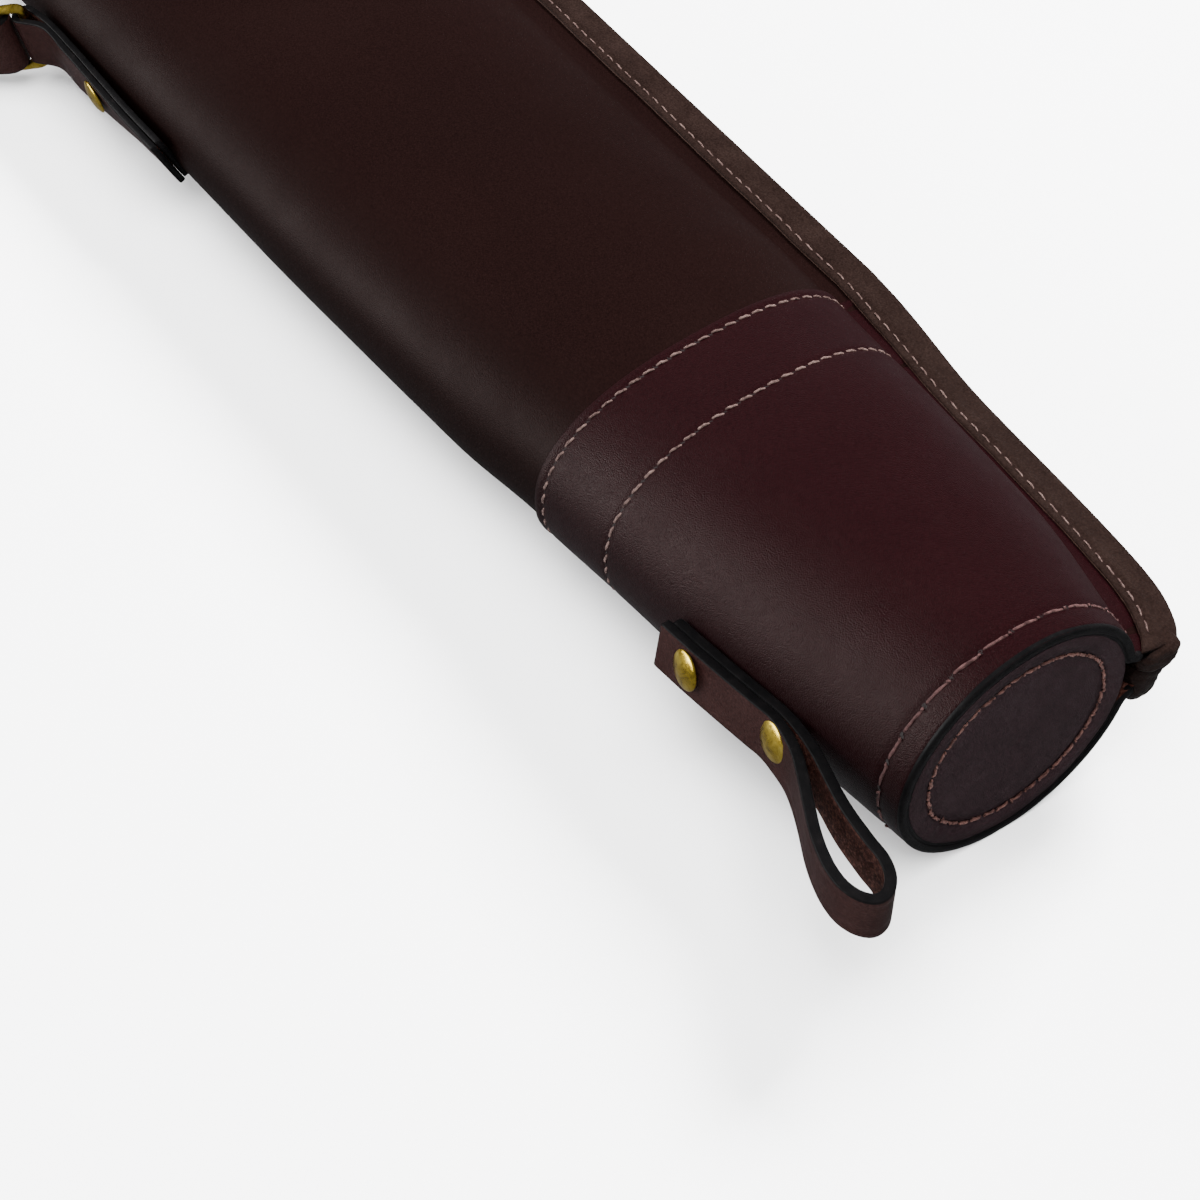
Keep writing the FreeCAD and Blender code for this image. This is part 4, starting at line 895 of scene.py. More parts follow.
NU_, NV_ = 40, 64
for tag, (cs, cy, cz), (hs, hy, hz), tuck, seed in (("upper", (3.2, 49.0, 2.0), (5.8, 7.4, 4.3), 0.10, 0.0), ("lower", (4.2, 47.2, -7.2), (5.6, 7.0, 7.2), 0.40, 5.0)):
    V = []
    for i in range(NU_):
        u = -math.pi / 2 + math.pi * i / (NU_ - 1)
        for j in range(NV_):
            v = 2 * math.pi * j / NV_
            a, c = spow(math.cos(u), 0.62) * spow(math.cos(v), 0.7), spow(math.cos(u), 0.62) * spow(math.sin(v), 0.7)
            y = spow(math.sin(u), 0.75)
            slim = 1.0 - tuck * (1 - c) / 2
            n = Vector((a, y * 1.3, c)).normalized()
            d = -0.30 * math.exp(-((c - 0.35 + 0.3 * y) / 0.09) ** 2) - 0.26 * math.exp(-((c + 0.42 - 0.4 * y) / 0.09) ** 2)
            d += 0.34 * noise.noise(Vector((a * 2.2 + seed, y * 2.6, c * 3.0))) + 0.12 * noise.noise(Vector((a * 7, y * 8 + seed, c * 9)))
            V.append((cs + a * hs + n.x * d, cy + (y * slim - (1 - slim)) * hy + n.y * d, seam_z(0) + cz + c * hz + n.z * d))
    V = np.array(V)
    F = grid_faces(NU_, NV_, close_v=True) + [list(range(NV_))[::-1], [(NU_ - 1) * NV_ + k for k in range(NV_)]]
    # the lower fold takes the darker copy of the binding leather: painted shade, as it lies under the upper one
    nub = outward(make("binding_end_fold_" + tag, W(V[:, 0], V[:, 1], V[:, 2]), F, [M_BIND if tag == "upper" else M_LOWER_FOLD_SHADED]))
    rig.slot(nub, "binding_leather")


# ------------------------------------------------------------------ end disc
DISC_R = 36.7
ZC = T_HEIGHT[0][1] / 2
DISC_S = 0.25
STITCH_R = 29.4


def disc_depth(r, th):
    """How far the disc's face lies behind (+) its mean plane at radius r, angle th."""
    d = 0.75 * math.exp(-((r - STITCH_R) / 0.95) ** 2)                      # pulled in by the stitches
    d -= 0.5 * math.exp(-((r - 34.0) / 2.2) ** 4)                         # raised between the row and the cut edge
    low = 0.5 + 0.5 * math.cos(th + 0.9)
    d += (0.2 + 0.5 * low) * math.exp(-((r - 27.8) / 1.25) ** 2)          # groove beside the row, deeper on one side
    d -= 0.6 * math.exp(-(r / 25.0) ** 4) * (0.75 + 0.25 * math.cos(th))  # centre stands proud
    if r > 24:
        d += 0.14 * math.sin(th * 31 + 2 * math.sin(th * 5)) * math.exp(-((r - 30.5) / 3.4) ** 2) * (0.6 + 0.4 * math.cos(th - 2.4))
    d += 1.0 * max(0.0, (r - (DISC_R - 0.8)) / 0.8) ** 2 * 0.5
    p = Vector((r * math.cos(th) / 11.0, r * math.sin(th) / 11.0, 2.0))
    d += 0.16 * noise.noise(p) + 0.07 * noise.noise(p * 3.3)
    return d


radii = np.unique(np.concatenate([np.linspace(0.6, 24, 22), np.arange(24, DISC_R, 0.32), [DISC_R]]))
NT = 300
V = [np.array([DISC_S + disc_depth(0.0, 0.0), 0.0, ZC])]
for r in radii:
    for k in range(NT):
        th = 2 * math.pi * k / NT
        V.append(np.array([DISC_S + disc_depth(r, th), r * math.cos(th), ZC + r * math.sin(th)]))
m0 = 1 + len(radii) * NT
for k in range(NT):
    th = 2 * math.pi * k / NT
    V.append(np.array([DISC_S + 3.1, DISC_R * math.cos(th), ZC + DISC_R * math.sin(th)]))
V.append(np.array([DISC_S + 3.1, 0.0, ZC]))
F = [[0, 1 + k, 1 + (k + 1) % NT] for k in range(NT)]
idx = [0] * NT
for i in range(len(radii)):
    for k in range(NT):
        a = 1 + i * NT + k
        b = 1 + i * NT + (k + 1) % NT
        F.append([a, a + NT, b + NT, b])
        idx.append(1 if i >= len(radii) - 2 else 0)
last = len(V) - 1
for k in range(NT):
    F.append([m0 + (k + 1) % NT, m0 + k, last])
    idx.append(2)
V = np.array(V)
disc = outward(make("end_disc_leather", W(V[:, 0], V[:, 1], V[:, 2]), F, [M_DISC, M_RAW, M_FLESH], idx))
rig.replaces(disc, "end_disc")
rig.slot(disc, "disc_leather")

P = Parts()
count = 38
for i in range(count):
    t0 = 2 * math.pi * (i + 0.08) / count
    t1 = 2 * math.pi * (i + 0.92) / count
    pts = []
    for t in (t0, t1):
        r = STITCH_R + RNG.normal(0, 0.12)
        pts.append(np.array([DISC_S + disc_depth(r, t) - 0.06, r * math.cos(t), ZC + r * math.sin(t)]))
    nrm = np.array([-1.0, 0, 0])
    stitch(P, pts[0], pts[1], nrm, 0.5 * (1 + RNG.normal(0, 0.1)), 0.4, 0.3, 0, 2.0, i * 0.9, 9, 8)
    pit(P, pts[0] - (pts[1] - pts[0]) * 0.08, nrm, pts[1] - pts[0], 0.6)
    q = pts[0] + nrm * 0.25
    for _ in range(2):
        w = RNG.normal(0, 0.4, 3) * np.array([0.3, 1, 1])
        stitch(P, q - w, q + w, nrm + RNG.normal(0, 0.15, 3), 0.34, 0.3, 0.1, 0, 1.0, i, 6, 6)
t = mm_build(P, "end_disc_stitching", [M_THREAD_DISC, M_HOLE_SHADE])
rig.slot(t, "disc_leather")


# ------------------------------------------------------------------ straps
def catmull(pts, step):
    p = np.asarray(pts, float)
    p = np.vstack([2 * p[0] - p[1], p, 2 * p[-1] - p[-2]])
    out = []
    for i in range(1, len(p) - 2):
        n = max(2, int(math.ceil(np.linalg.norm(p[i + 1] - p[i]) / step)))
        t01 = np.linalg.norm(p[i] - p[i - 1]) ** 0.5
        t12 = np.linalg.norm(p[i + 1] - p[i]) ** 0.5
        t23 = np.linalg.norm(p[i + 2] - p[i + 1]) ** 0.5
        m1 = p[i + 1] - p[i] + t12 * ((p[i] - p[i - 1]) / t01 - (p[i + 1] - p[i - 1]) / (t01 + t12))
        m2 = p[i + 1] - p[i] + t12 * ((p[i + 2] - p[i + 1]) / t23 - (p[i + 2] - p[i]) / (t12 + t23))
        for k in range(n):
            t = k / n
            out.append((2 * t ** 3 - 3 * t ** 2 + 1) * p[i] + (t ** 3 - 2 * t ** 2 + t) * m1 + (-2 * t ** 3 + 3 * t ** 2) * p[i + 1] + (t ** 3 - t ** 2) * m2)
    out.append(p[-2])
    return np.array(out)


def ribbon(name, pts, t, w, mats, side=1, step=1.4, plies=1, wob=0.10, round_=0.55, body="case_body", crease=0.0, width=None, open_ends=None, path=None):
    """Strap standing on its edge along (s, y, z): mats are grain face, painted edge, flesh face. side +1 puts the grain face on the path's left."""
    c = catmull(pts, step) if path is None else path
    tan = np.gradient(c, axis=0)
    l = np.hypot(tan[:, 0], tan[:, 1])
    nx, ny = -tan[:, 1] / l * side, tan[:, 0] / l * side
    m = 13
    zf = np.linspace(-1, 1, m)
    prof, mt = [], []
    hw = w / 2
    r = min(round_, t * 0.45)
    for z in zf:
        g = -crease * (math.exp(-((abs(z) * hw - (hw - 2.6)) / 0.45) ** 2)) if crease else 0.0
        prof.append((t / 2 + g, z * (hw - r)))
        mt.append(0)
    mt[-1] = 1
    for q in np.linspace(0.25, 1.75, 9 if plies == 2 else 5)[0:]:
        a = q * math.pi / 2
        n_ = t / 2 - r + (t - 2 * r) * 0  # placeholder for the rounded corner
        k = (q - 0.25) / 1.5
        n_ = (t / 2 - 0.12) * math.cos(k * math.pi)
        e = hw - r + r * math.sin(math.pi * (0.18 + 0.64 * k)) ** 0.5
        if plies == 2 and abs(k - 0.5) < 0.07:
            e -= 0.38
        prof.append((n_, e))
        mt.append(1)
    for z in zf[::-1]:
        prof.append((-t / 2, z * (hw - r)))
        mt.append(2)
    mt[-1] = 1
    for q in np.linspace(0.25, 1.75, 9 if plies == 2 else 5):
        k = (q - 0.25) / 1.5
        n_ = -(t / 2 - 0.12) * math.cos(k * math.pi)
        e = hw - r + r * math.sin(math.pi * (0.18 + 0.64 * k)) ** 0.5
        if plies == 2 and abs(k - 0.5) < 0.07:
            e -= 0.38
        prof.append((n_, -e))
        mt.append(1)
    prof = np.array(prof)
    rings = []
    for i in range(len(c)):
        a = wob * noise.noise(Vector((i * step / 9.0, 3.3, w)))
        b_ = wob * noise.noise(Vector((i * step / 14.0, 9.1, w)))
        end = 1.0
        if i == 0 or i == len(c) - 1:
            end = 0.93
        n_ = prof[:, 0] * end + a
        z_ = prof[:, 1] * (0.985 if end < 1 else 1.0) * (1 if width is None else width(i / (len(c) - 1))) + b_
        rings.append(W(c[i, 0] + nx[i] * n_, c[i, 1] + ny[i] * n_, c[i, 2] + z_))
    idx = mt * (len(rings) - 1)
    nu, nv = len(rings), len(prof)
    f = grid_faces(nu, nv, close_v=True)
    f += [list(range(nv))[::-1], [(nu - 1) * nv + k for k in range(nv)]]
    idx = idx + [1, 1]
    return outward(make(name, np.vstack(rings), f, mats, idx, True, body))


STRAP_MATS = [M_STRAP, M_EDGE, M_FLESH]
inner_leg = [(s, fold_y(s) - 1.9, HANG_Z) for s in (81, 74, 67, 60, 53, 46, 40)]
bow = [(32, -46.6), (25, -47.6), (18, -49.2), (11, -50.9), (4, -52.1), (-4, -52.9), (-11, -53.4), (-16, -55.3), (-19.2, -58.8), (-19.4, -62.2),
       (-16.6, -65.0), (-12, -66.5), (-6.5, -66.3), (0, -64.7), (7, -61.9), (14, -58.4), (21, -54.9), (27, -52.2), (33, -50.6)]
outer_leg = [(s, fold_y(s) - 5.2, HANG_Z) for s in (40, 46, 53, 60, 67, 74, 82)]
hang = ribbon("hang_loop_strap", inner_leg + [(s, y, HANG_Z) for s, y in bow] + outer_leg, STRAP_T + 0.12, HANG_W, STRAP_MATS, side=-1, step=1.0, plies=1, wob=0.06, crease=0.12)
HANG_AX = (np.array([X_TIP - 81.0, fold_y(81.0) - 0.35 + Y_MID, 43.0 - FLAT]) / 1000, np.array([X_TIP - 37.0, fold_y(37.0) - 0.35 + Y_MID, 43.0 - FLAT]) / 1000)


def lean_hang(o, deg=9.0):
    """The riveted part leans out at its lower edge; the loop itself hangs upright."""
    c, e = HANG_AX
    ax = (e - c) / np.linalg.norm(e - c)
    for v in o.data.vertices:
        s_ = X_TIP - v.co.x * 1000
        k = max(0.0, min(1.0, (s_ - 14.0) / 26.0))
        a = math.radians(-deg) * k * k * (3 - 2 * k)
        q = np.array(v.co) - c
        q = q * math.cos(a) + np.cross(ax, q) * math.sin(a) + ax * np.dot(ax, q) * (1 - math.cos(a))
        v.co = tuple(q + c)
    return o


lean_hang(hang)
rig.replaces(hang, "hang_loop")
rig.slot(hang, "strap_leather")


def lathe(parts, base, d, prof, sides=40, mat=0, wear=0.0, squash=1.0):
    """Turned piece: prof is (radius, height) from the tip of the axis outward and back to it. base and d in row mm."""
    d = np.asarray(d, float)
    d = d / np.linalg.norm(d)
    ref = np.array([0, 0, 1.0]) if abs(d[2]) < 0.9 else np.array([1.0, 0, 0])
    u = np.cross(ref, d)
    u /= np.linalg.norm(u)
    v = np.cross(d, u)
    V = []
    for r, h in prof:
        for k in range(sides):
            th = 2 * math.pi * k / sides
            q = base + u * r * math.cos(th) + v * r * math.sin(th) * squash + d * h
            if wear:
                q = q + d * wear * noise.noise(Vector(tuple(q / 2.2)))
            V.append(q)
    F = grid_faces(len(prof), sides, close_v=True)
    F.append(list(range(sides))[::-1])
    F.append([(len(prof) - 1) * sides + k for k in range(sides)])
    parts.add(np.array(V), F, mat)


def rowmm(s, y, z):
    return np.array([X_TIP - s, y + Y_MID, z - FLAT], float)


def row_build(parts, name, mats, body="case_body", smooth=True):
    parts.v = [np.vstack(parts.v) / 1000.0]
    return outward(parts.build(name, mats, smooth, body))


def head_profile(R, rise, ball, rim=0.9):
    q = [(0.05, rise)]
    for r in np.linspace(R * 0.12, R - 0.55, 9):
        q.append((r, rise - ball + math.sqrt(ball * ball - r * r)))
    q += [(R - 0.22, rim * 0.86), (R - 0.06, rim * 0.66), (R, rim * 0.42), (R - 0.04, rim * 0.16), (R - 0.25, 0.0)]
    return q


def stud_heads(name, items, node_name, R=6.1, rise=2.1, ball=14.5, post=2.0, slot="brass"):
    P = Parts()
    for base, d, reach in items:
        lathe(P, np.asarray(base, float), d, head_profile(R, rise, ball) + [(post, -0.02), (post, -reach), (0.05, -reach)], 48, 0, 0.05)
    o = row_build(P, name, [M_BRASS])
    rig.replaces(o, node_name)
    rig.slot(o, slot)
    return o


hang_items = []
for s, z in ((70.0, 35.5), (37.0, 36.5)):
    face = fold_y(s) - 5.2 - STRAP_T / 2 - 0.12
    inside = fold_y(s) + T_CAP + T_BODY + T_LINING + 0.35
    hang_items.append((rowmm(s, face, z), (-0.13, -1, 0), inside - face + 0.9))
lean_hang(stud_heads("hang_loop_studs", hang_items, "hang_loop_rivets"))


# ------------------------------------------------------------------ ring tabs, rings, sling
WIRE_R, RING_LEN, RING_HALF = 1.75, 11.2, 13.0
FRONT_BAR, REAR_BAR = (438.0, -75.4), (1052.0, -109.6)
DIR_F = (0.55, -math.sqrt(1 - 0.55 ** 2))
DIR_R = (-0.55, -math.sqrt(1 - 0.55 ** 2))
LOOP_LEN, START_GAP, K_BEND, T_BAR, BAR_R = 40.0, 2.6, 137.776, 0.66, 1.6


def wrap(bar, r, d, n=9):
    base = math.atan2(d[1], d[0])
    return [(bar[0] + r * math.cos(base + math.pi / 2 - math.pi * i / (n - 1)), bar[1] + r * math.sin(base + math.pi / 2 - math.pi * i / (n - 1))) for i in range(n)]


def tab_path(bar, s_end, sgn):
    r = WIRE_R + 0.5 + TAB_T / 2
    turn = wrap(bar, r, (sgn, 0.0))
    if turn[0][1] < turn[-1][1]:
        turn.reverse()
    inner, outer = [], []
    for k in range(6):
        s = s_end + (bar[0] - sgn * 10 - s_end) * k / 5.0
        inner.append((s, fold_y(s) - 0.3 - TAB_T / 2))
        outer.append((s, fold_y(s) - 0.3 - TAB_T * 1.5 - 0.1))
    outer.reverse()
    outer[-1] = (s_end - sgn * 1.0, outer[-1][1])
    return [(s, y, TAB_Z) for s, y in inner + turn + outer]


def wire(name, pts, r, mat, body, rnd=3.0, sides=20, closed=True):
    """Bent round wire through corner points (row mm), corners rounded."""
    pts = [np.asarray(p, float) for p in pts]
    path = []
    n = len(pts)
    for i in range(n):
        a, b, c = pts[i - 1], pts[i], pts[(i + 1) % n]
        if not closed and i in (0, n - 1):
            path.append(b)
            continue
        u = (a - b) / np.linalg.norm(a - b)
        v = (c - b) / np.linalg.norm(c - b)
        p0, p1 = b + u * rnd, b + v * rnd
        for k in range(7):
            t = k / 6
            path.append((1 - t) ** 2 * p0 + 2 * t * (1 - t) * b + t * t * p1)
    path = np.array(path)
    dense = []
    m = len(path)
    for i in range(m if closed else m - 1):
        a, b = path[i], path[(i + 1) % m]
        k = max(1, int(np.linalg.norm(b - a) / 1.2))
        for j in range(k):
            dense.append(a + (b - a) * j / k)
    if not closed:
        dense.append(path[-1])
    dense = np.array(dense)
    if closed:
        tan = np.roll(dense, -1, 0) - np.roll(dense, 1, 0)
    else:
        tan = np.gradient(dense, axis=0)
    tan /= np.linalg.norm(tan, axis=1)[:, None]
    nrm = np.cross(pts[1] - pts[0], pts[2] - pts[1])
    nrm /= np.linalg.norm(nrm)
    rings = []
    for p, t in zip(dense, tan):
        s_ = np.cross(t, nrm)
        ring = [p + (s_ * math.cos(q) + nrm * math.sin(q)) * r for q in np.linspace(0, 2 * math.pi, sides, endpoint=False)]
        ring = [q + (q - p) * 0.02 * noise.noise(Vector(tuple(q / 2.0))) for q in ring]
        rings.append(np.array(ring) / 1000.0)
    return loop_mesh(name, rings, [mat], body=body, close_u=closed)


TILT_AT = {"front": 395.0, "rear": 1112.0}


def lean(o, name):
    """Lean a piece with the fold at a ring tab."""
    s_c = TILT_AT[name]
    c = Vector(tuple(rowmm(s_c, fold_y(s_c), TAB_Z) / 1000.0))
    o.data.transform(Matrix.Translation(c + Vector((0, SNUG / 1000.0, 0))) @ Matrix.Rotation(math.radians(TILT), 4, "X") @ Matrix.Translation(-c))
    return o


def lean_point(s, y, z, name):
    yc = fold_y(TILT_AT[name])
    c, w = math.cos(math.radians(TILT)), math.sin(math.radians(TILT))
    return s, yc + (y - yc) * c - (z - TAB_Z) * w + SNUG, TAB_Z + (y - yc) * w + (z - TAB_Z) * c


def twist_tab(o, s_bar, s_end):
    """The free end of a tab follows the fold as it turns under."""
    for v in o.data.vertices:
        s_ = X_TIP - v.co.x * 1000
        k = max(0.0, min(1.0, (abs(s_ - s_bar) - 18.0) / max(1.0, abs(s_end - s_bar) - 30.0)))
        a = math.radians(13.0) * k * k * (3 - 2 * k)
        yc, zc = (fold_y(s_) - 0.3 + Y_MID) / 1000, (TAB_Z + 3.0 - FLAT) / 1000
        dy, dz = v.co.y - yc, v.co.z - zc
        v.co.y = yc + dy * math.cos(a) - dz * math.sin(a)
        v.co.z = zc + dy * math.sin(a) + dz * math.cos(a)


FARS = {}
for nm, bar, d, body_, cadn in (("front", FRONT_BAR, DIR_F, "front_ring_body", "front_ring"), ("rear", REAR_BAR, DIR_R, "rear_ring_body", "rear_ring")):
    far = (bar[0] + d[0] * RING_LEN, bar[1] + d[1] * RING_LEN)
    FARS[nm] = far
    z0, z1 = TAB_Z - RING_HALF, TAB_Z + RING_HALF
    o = wire(nm + "_ring_wire", [rowmm(*bar, z0), rowmm(*bar, z1), rowmm(*far, z1), rowmm(*far, z0)], WIRE_R, M_BRASS, body_, rnd=3.0)
    lean(o, nm)
    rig.replaces(o, cadn)
    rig.slot(o, "brass")

for nm, bar, s_end, sgn, s_r, slope in (("front", FRONT_BAR, 350.0, 1, 395.0, -0.04), ("rear", REAR_BAR, 1149.0, -1, 1112.0, -0.055)):
    o = ribbon(nm + "_tab_strap", tab_path(bar, s_end, sgn), TAB_T, TAB_W, STRAP_MATS, side=(1 if sgn > 0 else -1), step=1.0, wob=0.08, crease=0.22)
    twist_tab(o, bar[0], s_end)
    lean(o, nm)
    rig.replaces(o, nm + "_ring_tab")
    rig.slot(o, "strap_leather")
    face = fold_y(s_r) - 0.3 - 2 * TAB_T - 0.25
    inside = fold_y(s_r) + T_BODY + T_LINING + 0.3
    lean(stud_heads(nm + "_tab_stud", [(rowmm(s_r, face, TAB_Z), (slope, -1, 0), inside - face + 0.9)], nm + "_tab_rivet"), nm)


def loop_path(far, d):
    r = WIRE_R + 1.6 + SLING_T / 2
    nx, ny = -d[1], d[0]
    turn = wrap(far, r, (-d[0], -d[1]))
    side = 1 if (turn[0][0] - far[0]) * nx + (turn[0][1] - far[1]) * ny > 0 else -1
    off = SLING_T / 2 + 0.05
    a = [(far[0] + d[0] * q + side * nx * (off + (r - off) * f), far[1] + d[1] * q + side * ny * (off + (r - off) * f)) for q, f in ((LOOP_LEN, 0), (28, 0), (17, 0.12), (9, 0.62))]
    b = [(far[0] + d[0] * q - side * nx * (off + (r - off) * f), far[1] + d[1] * q - side * ny * (off + (r - off) * f)) for q, f in ((9, 0.62), (17, 0.12), (28, 0), (LOOP_LEN, 0))]
    return [(s, y, TAB_Z) for s, y in a + turn + b], side


for nm, d in (("front", DIR_F), ("rear", DIR_R)):
    lp, sd = loop_path(FARS[nm], d)
    o = lean(ribbon("sling_" + nm + "_loop_strap", lp, SLING_T, SLING_W, STRAP_MATS, side=-sd, step=1.0, wob=0.1), nm)
    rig.replaces(o, "sling_" + nm + "_loop")
    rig.slot(o, "strap_leather")
    far = FARS[nm]
    c = rowmm(far[0] + d[0] * 26, far[1] + d[1] * 26, TAB_Z)
    nrm = np.array([d[1], d[0], 0.0])
    nrm /= np.linalg.norm(nrm)
    if nrm[1] > 0:
        nrm = -nrm
    f = SLING_T + 0.12
    P = Parts()
    lathe(P, c + nrm * f, nrm, head_profile(5.0, 1.7, 11.0, 0.8) + [(1.6, -0.02), (1.6, -2 * f), (4.0, -2 * f), (4.0, -2 * f - 0.7), (0.05, -2 * f - 0.8)], 40, 0, 0.04)
    o = lean(row_build(P, "sling_" + nm + "_stud", [M_BRASS]), nm)
    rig.replaces(o, "sling_" + nm + "_rivet")
    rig.slot(o, "brass")


FAR_F, FAR_R = FARS["front"], FARS["rear"]
END_F = lean_point(FAR_F[0] + DIR_F[0] * (LOOP_LEN + START_GAP), FAR_F[1] + DIR_F[1] * (LOOP_LEN + START_GAP), TAB_Z, "front")
END_R = lean_point(FAR_R[0] + DIR_R[0] * (LOOP_LEN + START_GAP), FAR_R[1] + DIR_R[1] * (LOOP_LEN + START_GAP), TAB_Z, "rear")
A0, A3 = END_F[:2], END_R[:2]
BEZ = [A0, (A0[0] + DIR_F[0] * K_BEND, A0[1] + DIR_F[1] * K_BEND), (A3[0] + DIR_R[0] * K_BEND, A3[1] + DIR_R[1] * K_BEND), A3]


def ease(x):
    x = max(0.0, min(1.0, x))
    return x * x * (3 - 2 * x)


def sling_point(t):
    u = 1 - t
    x, y = (u ** 3 * BEZ[0][i] + 3 * u * u * t * BEZ[1][i] + 3 * u * t * t * BEZ[2][i] + t ** 3 * BEZ[3][i] for i in range(2))
    z_end = (END_F if t < 0.5 else END_R)[2]
    d = DIR_F if t < 0.5 else DIR_R
    off = (SLING_T / 2 + 0.05) * (1 - ease(min(t, 1 - t) / 0.06))
    x += (1 if t < 0.5 else -1) * d[1] * off
    y += -(1 if t < 0.5 else -1) * d[0] * off
    drop = ease(min(t, 1 - t) / 0.27)
    low = SLING_W / 2 + FLAT + 0.2
    low += 5.0 * ease(1.0 - max(0.0, abs(t - 0.69) - 0.11) / 0.22)
    return x, y, z_end + (low - z_end) * drop


def tangent(t):
    a, b = sling_point(t - 0.002), sling_point(t + 0.002)
    l = math.hypot(b[0] - a[0], b[1] - a[1])
    return ((b[0] - a[0]) / l, (b[1] - a[1]) / l)


def sling_run(t0, t1, n, shift=0.0):
    out = []
    for i in range(n):
        t = t0 + (t1 - t0) * i / (n - 1)
        p = sling_point(t)
        if shift:
            a, b = sling_point(max(0, t - 0.002)), sling_point(min(1, t + 0.002))
            dx, dy = b[0] - a[0], b[1] - a[1]
            l = math.hypot(dx, dy)
            p = (p[0] - dy / l * shift, p[1] + dx / l * shift, p[2])
        out.append(p)
    return out


bar_p = sling_point(T_BAR)
U = tangent(T_BAR)
out_n = (U[1], -U[0])
if out_n[1] > 0:
    out_n = (-out_n[0], -out_n[1])
_t = tangent(T_BAR)
side_n = 1 if (-_t[1] * out_n[0] + _t[0] * out_n[1]) > 0 else -1
STEP = BAR_R + 0.3 + SLING_T


def at2(du, dn):
    return (bar_p[0] + U[0] * du + out_n[0] * dn, bar_p[1] + U[1] * du + out_n[1] * dn, bar_p[2])


def sling_piece(name, path, node_name, mats=STRAP_MATS, side=side_n, wob=0.1, **kw):
    o = ribbon(name, path, SLING_T, SLING_W, mats, side=side, step=2.0, wob=wob, **kw)
    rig.replaces(o, node_name)
    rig.slot(o, "strap_leather")
    return o


r_ch = BAR_R + 0.3 + SLING_T / 2
chape = [at2(-r_ch * math.sin(math.pi * k / 8.0), -r_ch * math.cos(math.pi * k / 8.0)) for k in range(9)] + [at2(10, 1.2), at2(22, 0.0)]
lift = STEP + SLING_T / 2 + 0.15
long_path = sling_run(0.0, T_BAR - 0.085, 16) + [at2(-27, 2.2), at2(-18, lift - 1.2), at2(-9, lift), at2(0, lift + 0.2), at2(12, lift - 1.0), at2(24, lift - 2.6)]
long_path += sling_run(T_BAR + 0.06, T_BAR + 0.16, 5, shift=side_n * (SLING_T + 0.35))


def bar_local(p):
    """Row-mm points to the buckle bar's own (along, outward, up)."""
    o = rowmm(*bar_p)
    ux = np.array([-U[0], U[1], 0.0])
    nx_ = np.array([-out_n[0], out_n[1], 0.0])
    q = p - o
    return np.stack([q @ ux, q @ nx_, q[..., 2]], -1)


def cut_slot(o, lo, hi, rows=3.0):
    """Open a slot in a strap: cut out the faces inside the box in the bar's axes and wall up the hole."""
    bm = bmesh.new()
    bm.from_mesh(o.data)
    ux = np.array([-U[0], U[1], 0.0])
    nx_ = np.array([-out_n[0], out_n[1], 0.0])
    org = rowmm(*bar_p) / 1000.0
    for axis, val in ((ux, lo[0]), (ux, hi[0]), (np.array([0, 0, 1.0]), lo[2]), (np.array([0, 0, 1.0]), hi[2])):
        g = [f for f in bm.faces]
        near = [f for f in bm.faces if abs(bar_local(np.array(f.calc_center_median()) * 1000)[0]) < 40 and abs(bar_local(np.array(f.calc_center_median()) * 1000)[1]) < 14]
        geom = set(near)
        for f in near:
            geom.update(f.verts)
            geom.update(f.edges)
        bmesh.ops.bisect_plane(bm, geom=list(geom), plane_co=Vector(tuple(org + axis * val / 1000.0)), plane_no=Vector(tuple(axis)), dist=1e-7)
    dead = []
    for f in bm.faces:
        c = bar_local(np.array(f.calc_center_median()) * 1000)
        if lo[0] < c[0] < hi[0] and lo[2] < c[2] < hi[2] and lo[1] < c[1] < hi[1]:
            dead.append(f)
    bmesh.ops.delete(bm, geom=dead, context="FACES")
    rim_e = [e for e in bm.edges if len(e.link_faces) == 1]
    # bridge the two open rims
    try:
        r = bmesh.ops.bridge_loops(bm, edges=rim_e)
        for f in r["faces"]:
            f.material_index = 1
    except Exception as err:
        print("slot bridge failed", o.name, err)
    bmesh.ops.recalc_face_normals(bm, faces=bm.faces)
    bm.to_mesh(o.data)
    bm.free()


long_s = sling_piece("sling_long_strap_leather", long_path, "sling_long_strap", width=None)
cut_slot(long_s, (-17, -1, -2.2), (6, 11, 2.2))
short_s = sling_piece("sling_short_strap_leather", chape + sling_run(T_BAR + 0.055, 1.0, 14), "sling_short_strap", side=side_n)
cut_slot(short_s, (-7, -6.5, -2.5), (6, 5.5, 2.5))
tail_s = sling_piece("sling_chape_tail_leather", [at2(0.4, -r_ch), at2(6, -r_ch - 0.1), at2(13, -(SLING_T + 0.45))] + sling_run(T_BAR + 0.03, T_BAR + 0.06, 4, shift=-side_n * (SLING_T + 0.25)), "sling_chape_tail", side=-side_n)
cut_slot(tail_s, (-7, -6.5, -2.5), (6, 5.5, 2.5))

FR_W, FR_L = SLING_W / 2 + 3.2, 25.0
FAR_N = lift + SLING_T / 2 + 0.3 + BAR_R


def placed(du, dn, dz):
    return rowmm(bar_p[0] + U[0] * du + out_n[0] * dn, bar_p[1] + U[1] * du + out_n[1] * dn, bar_p[2] + dz)


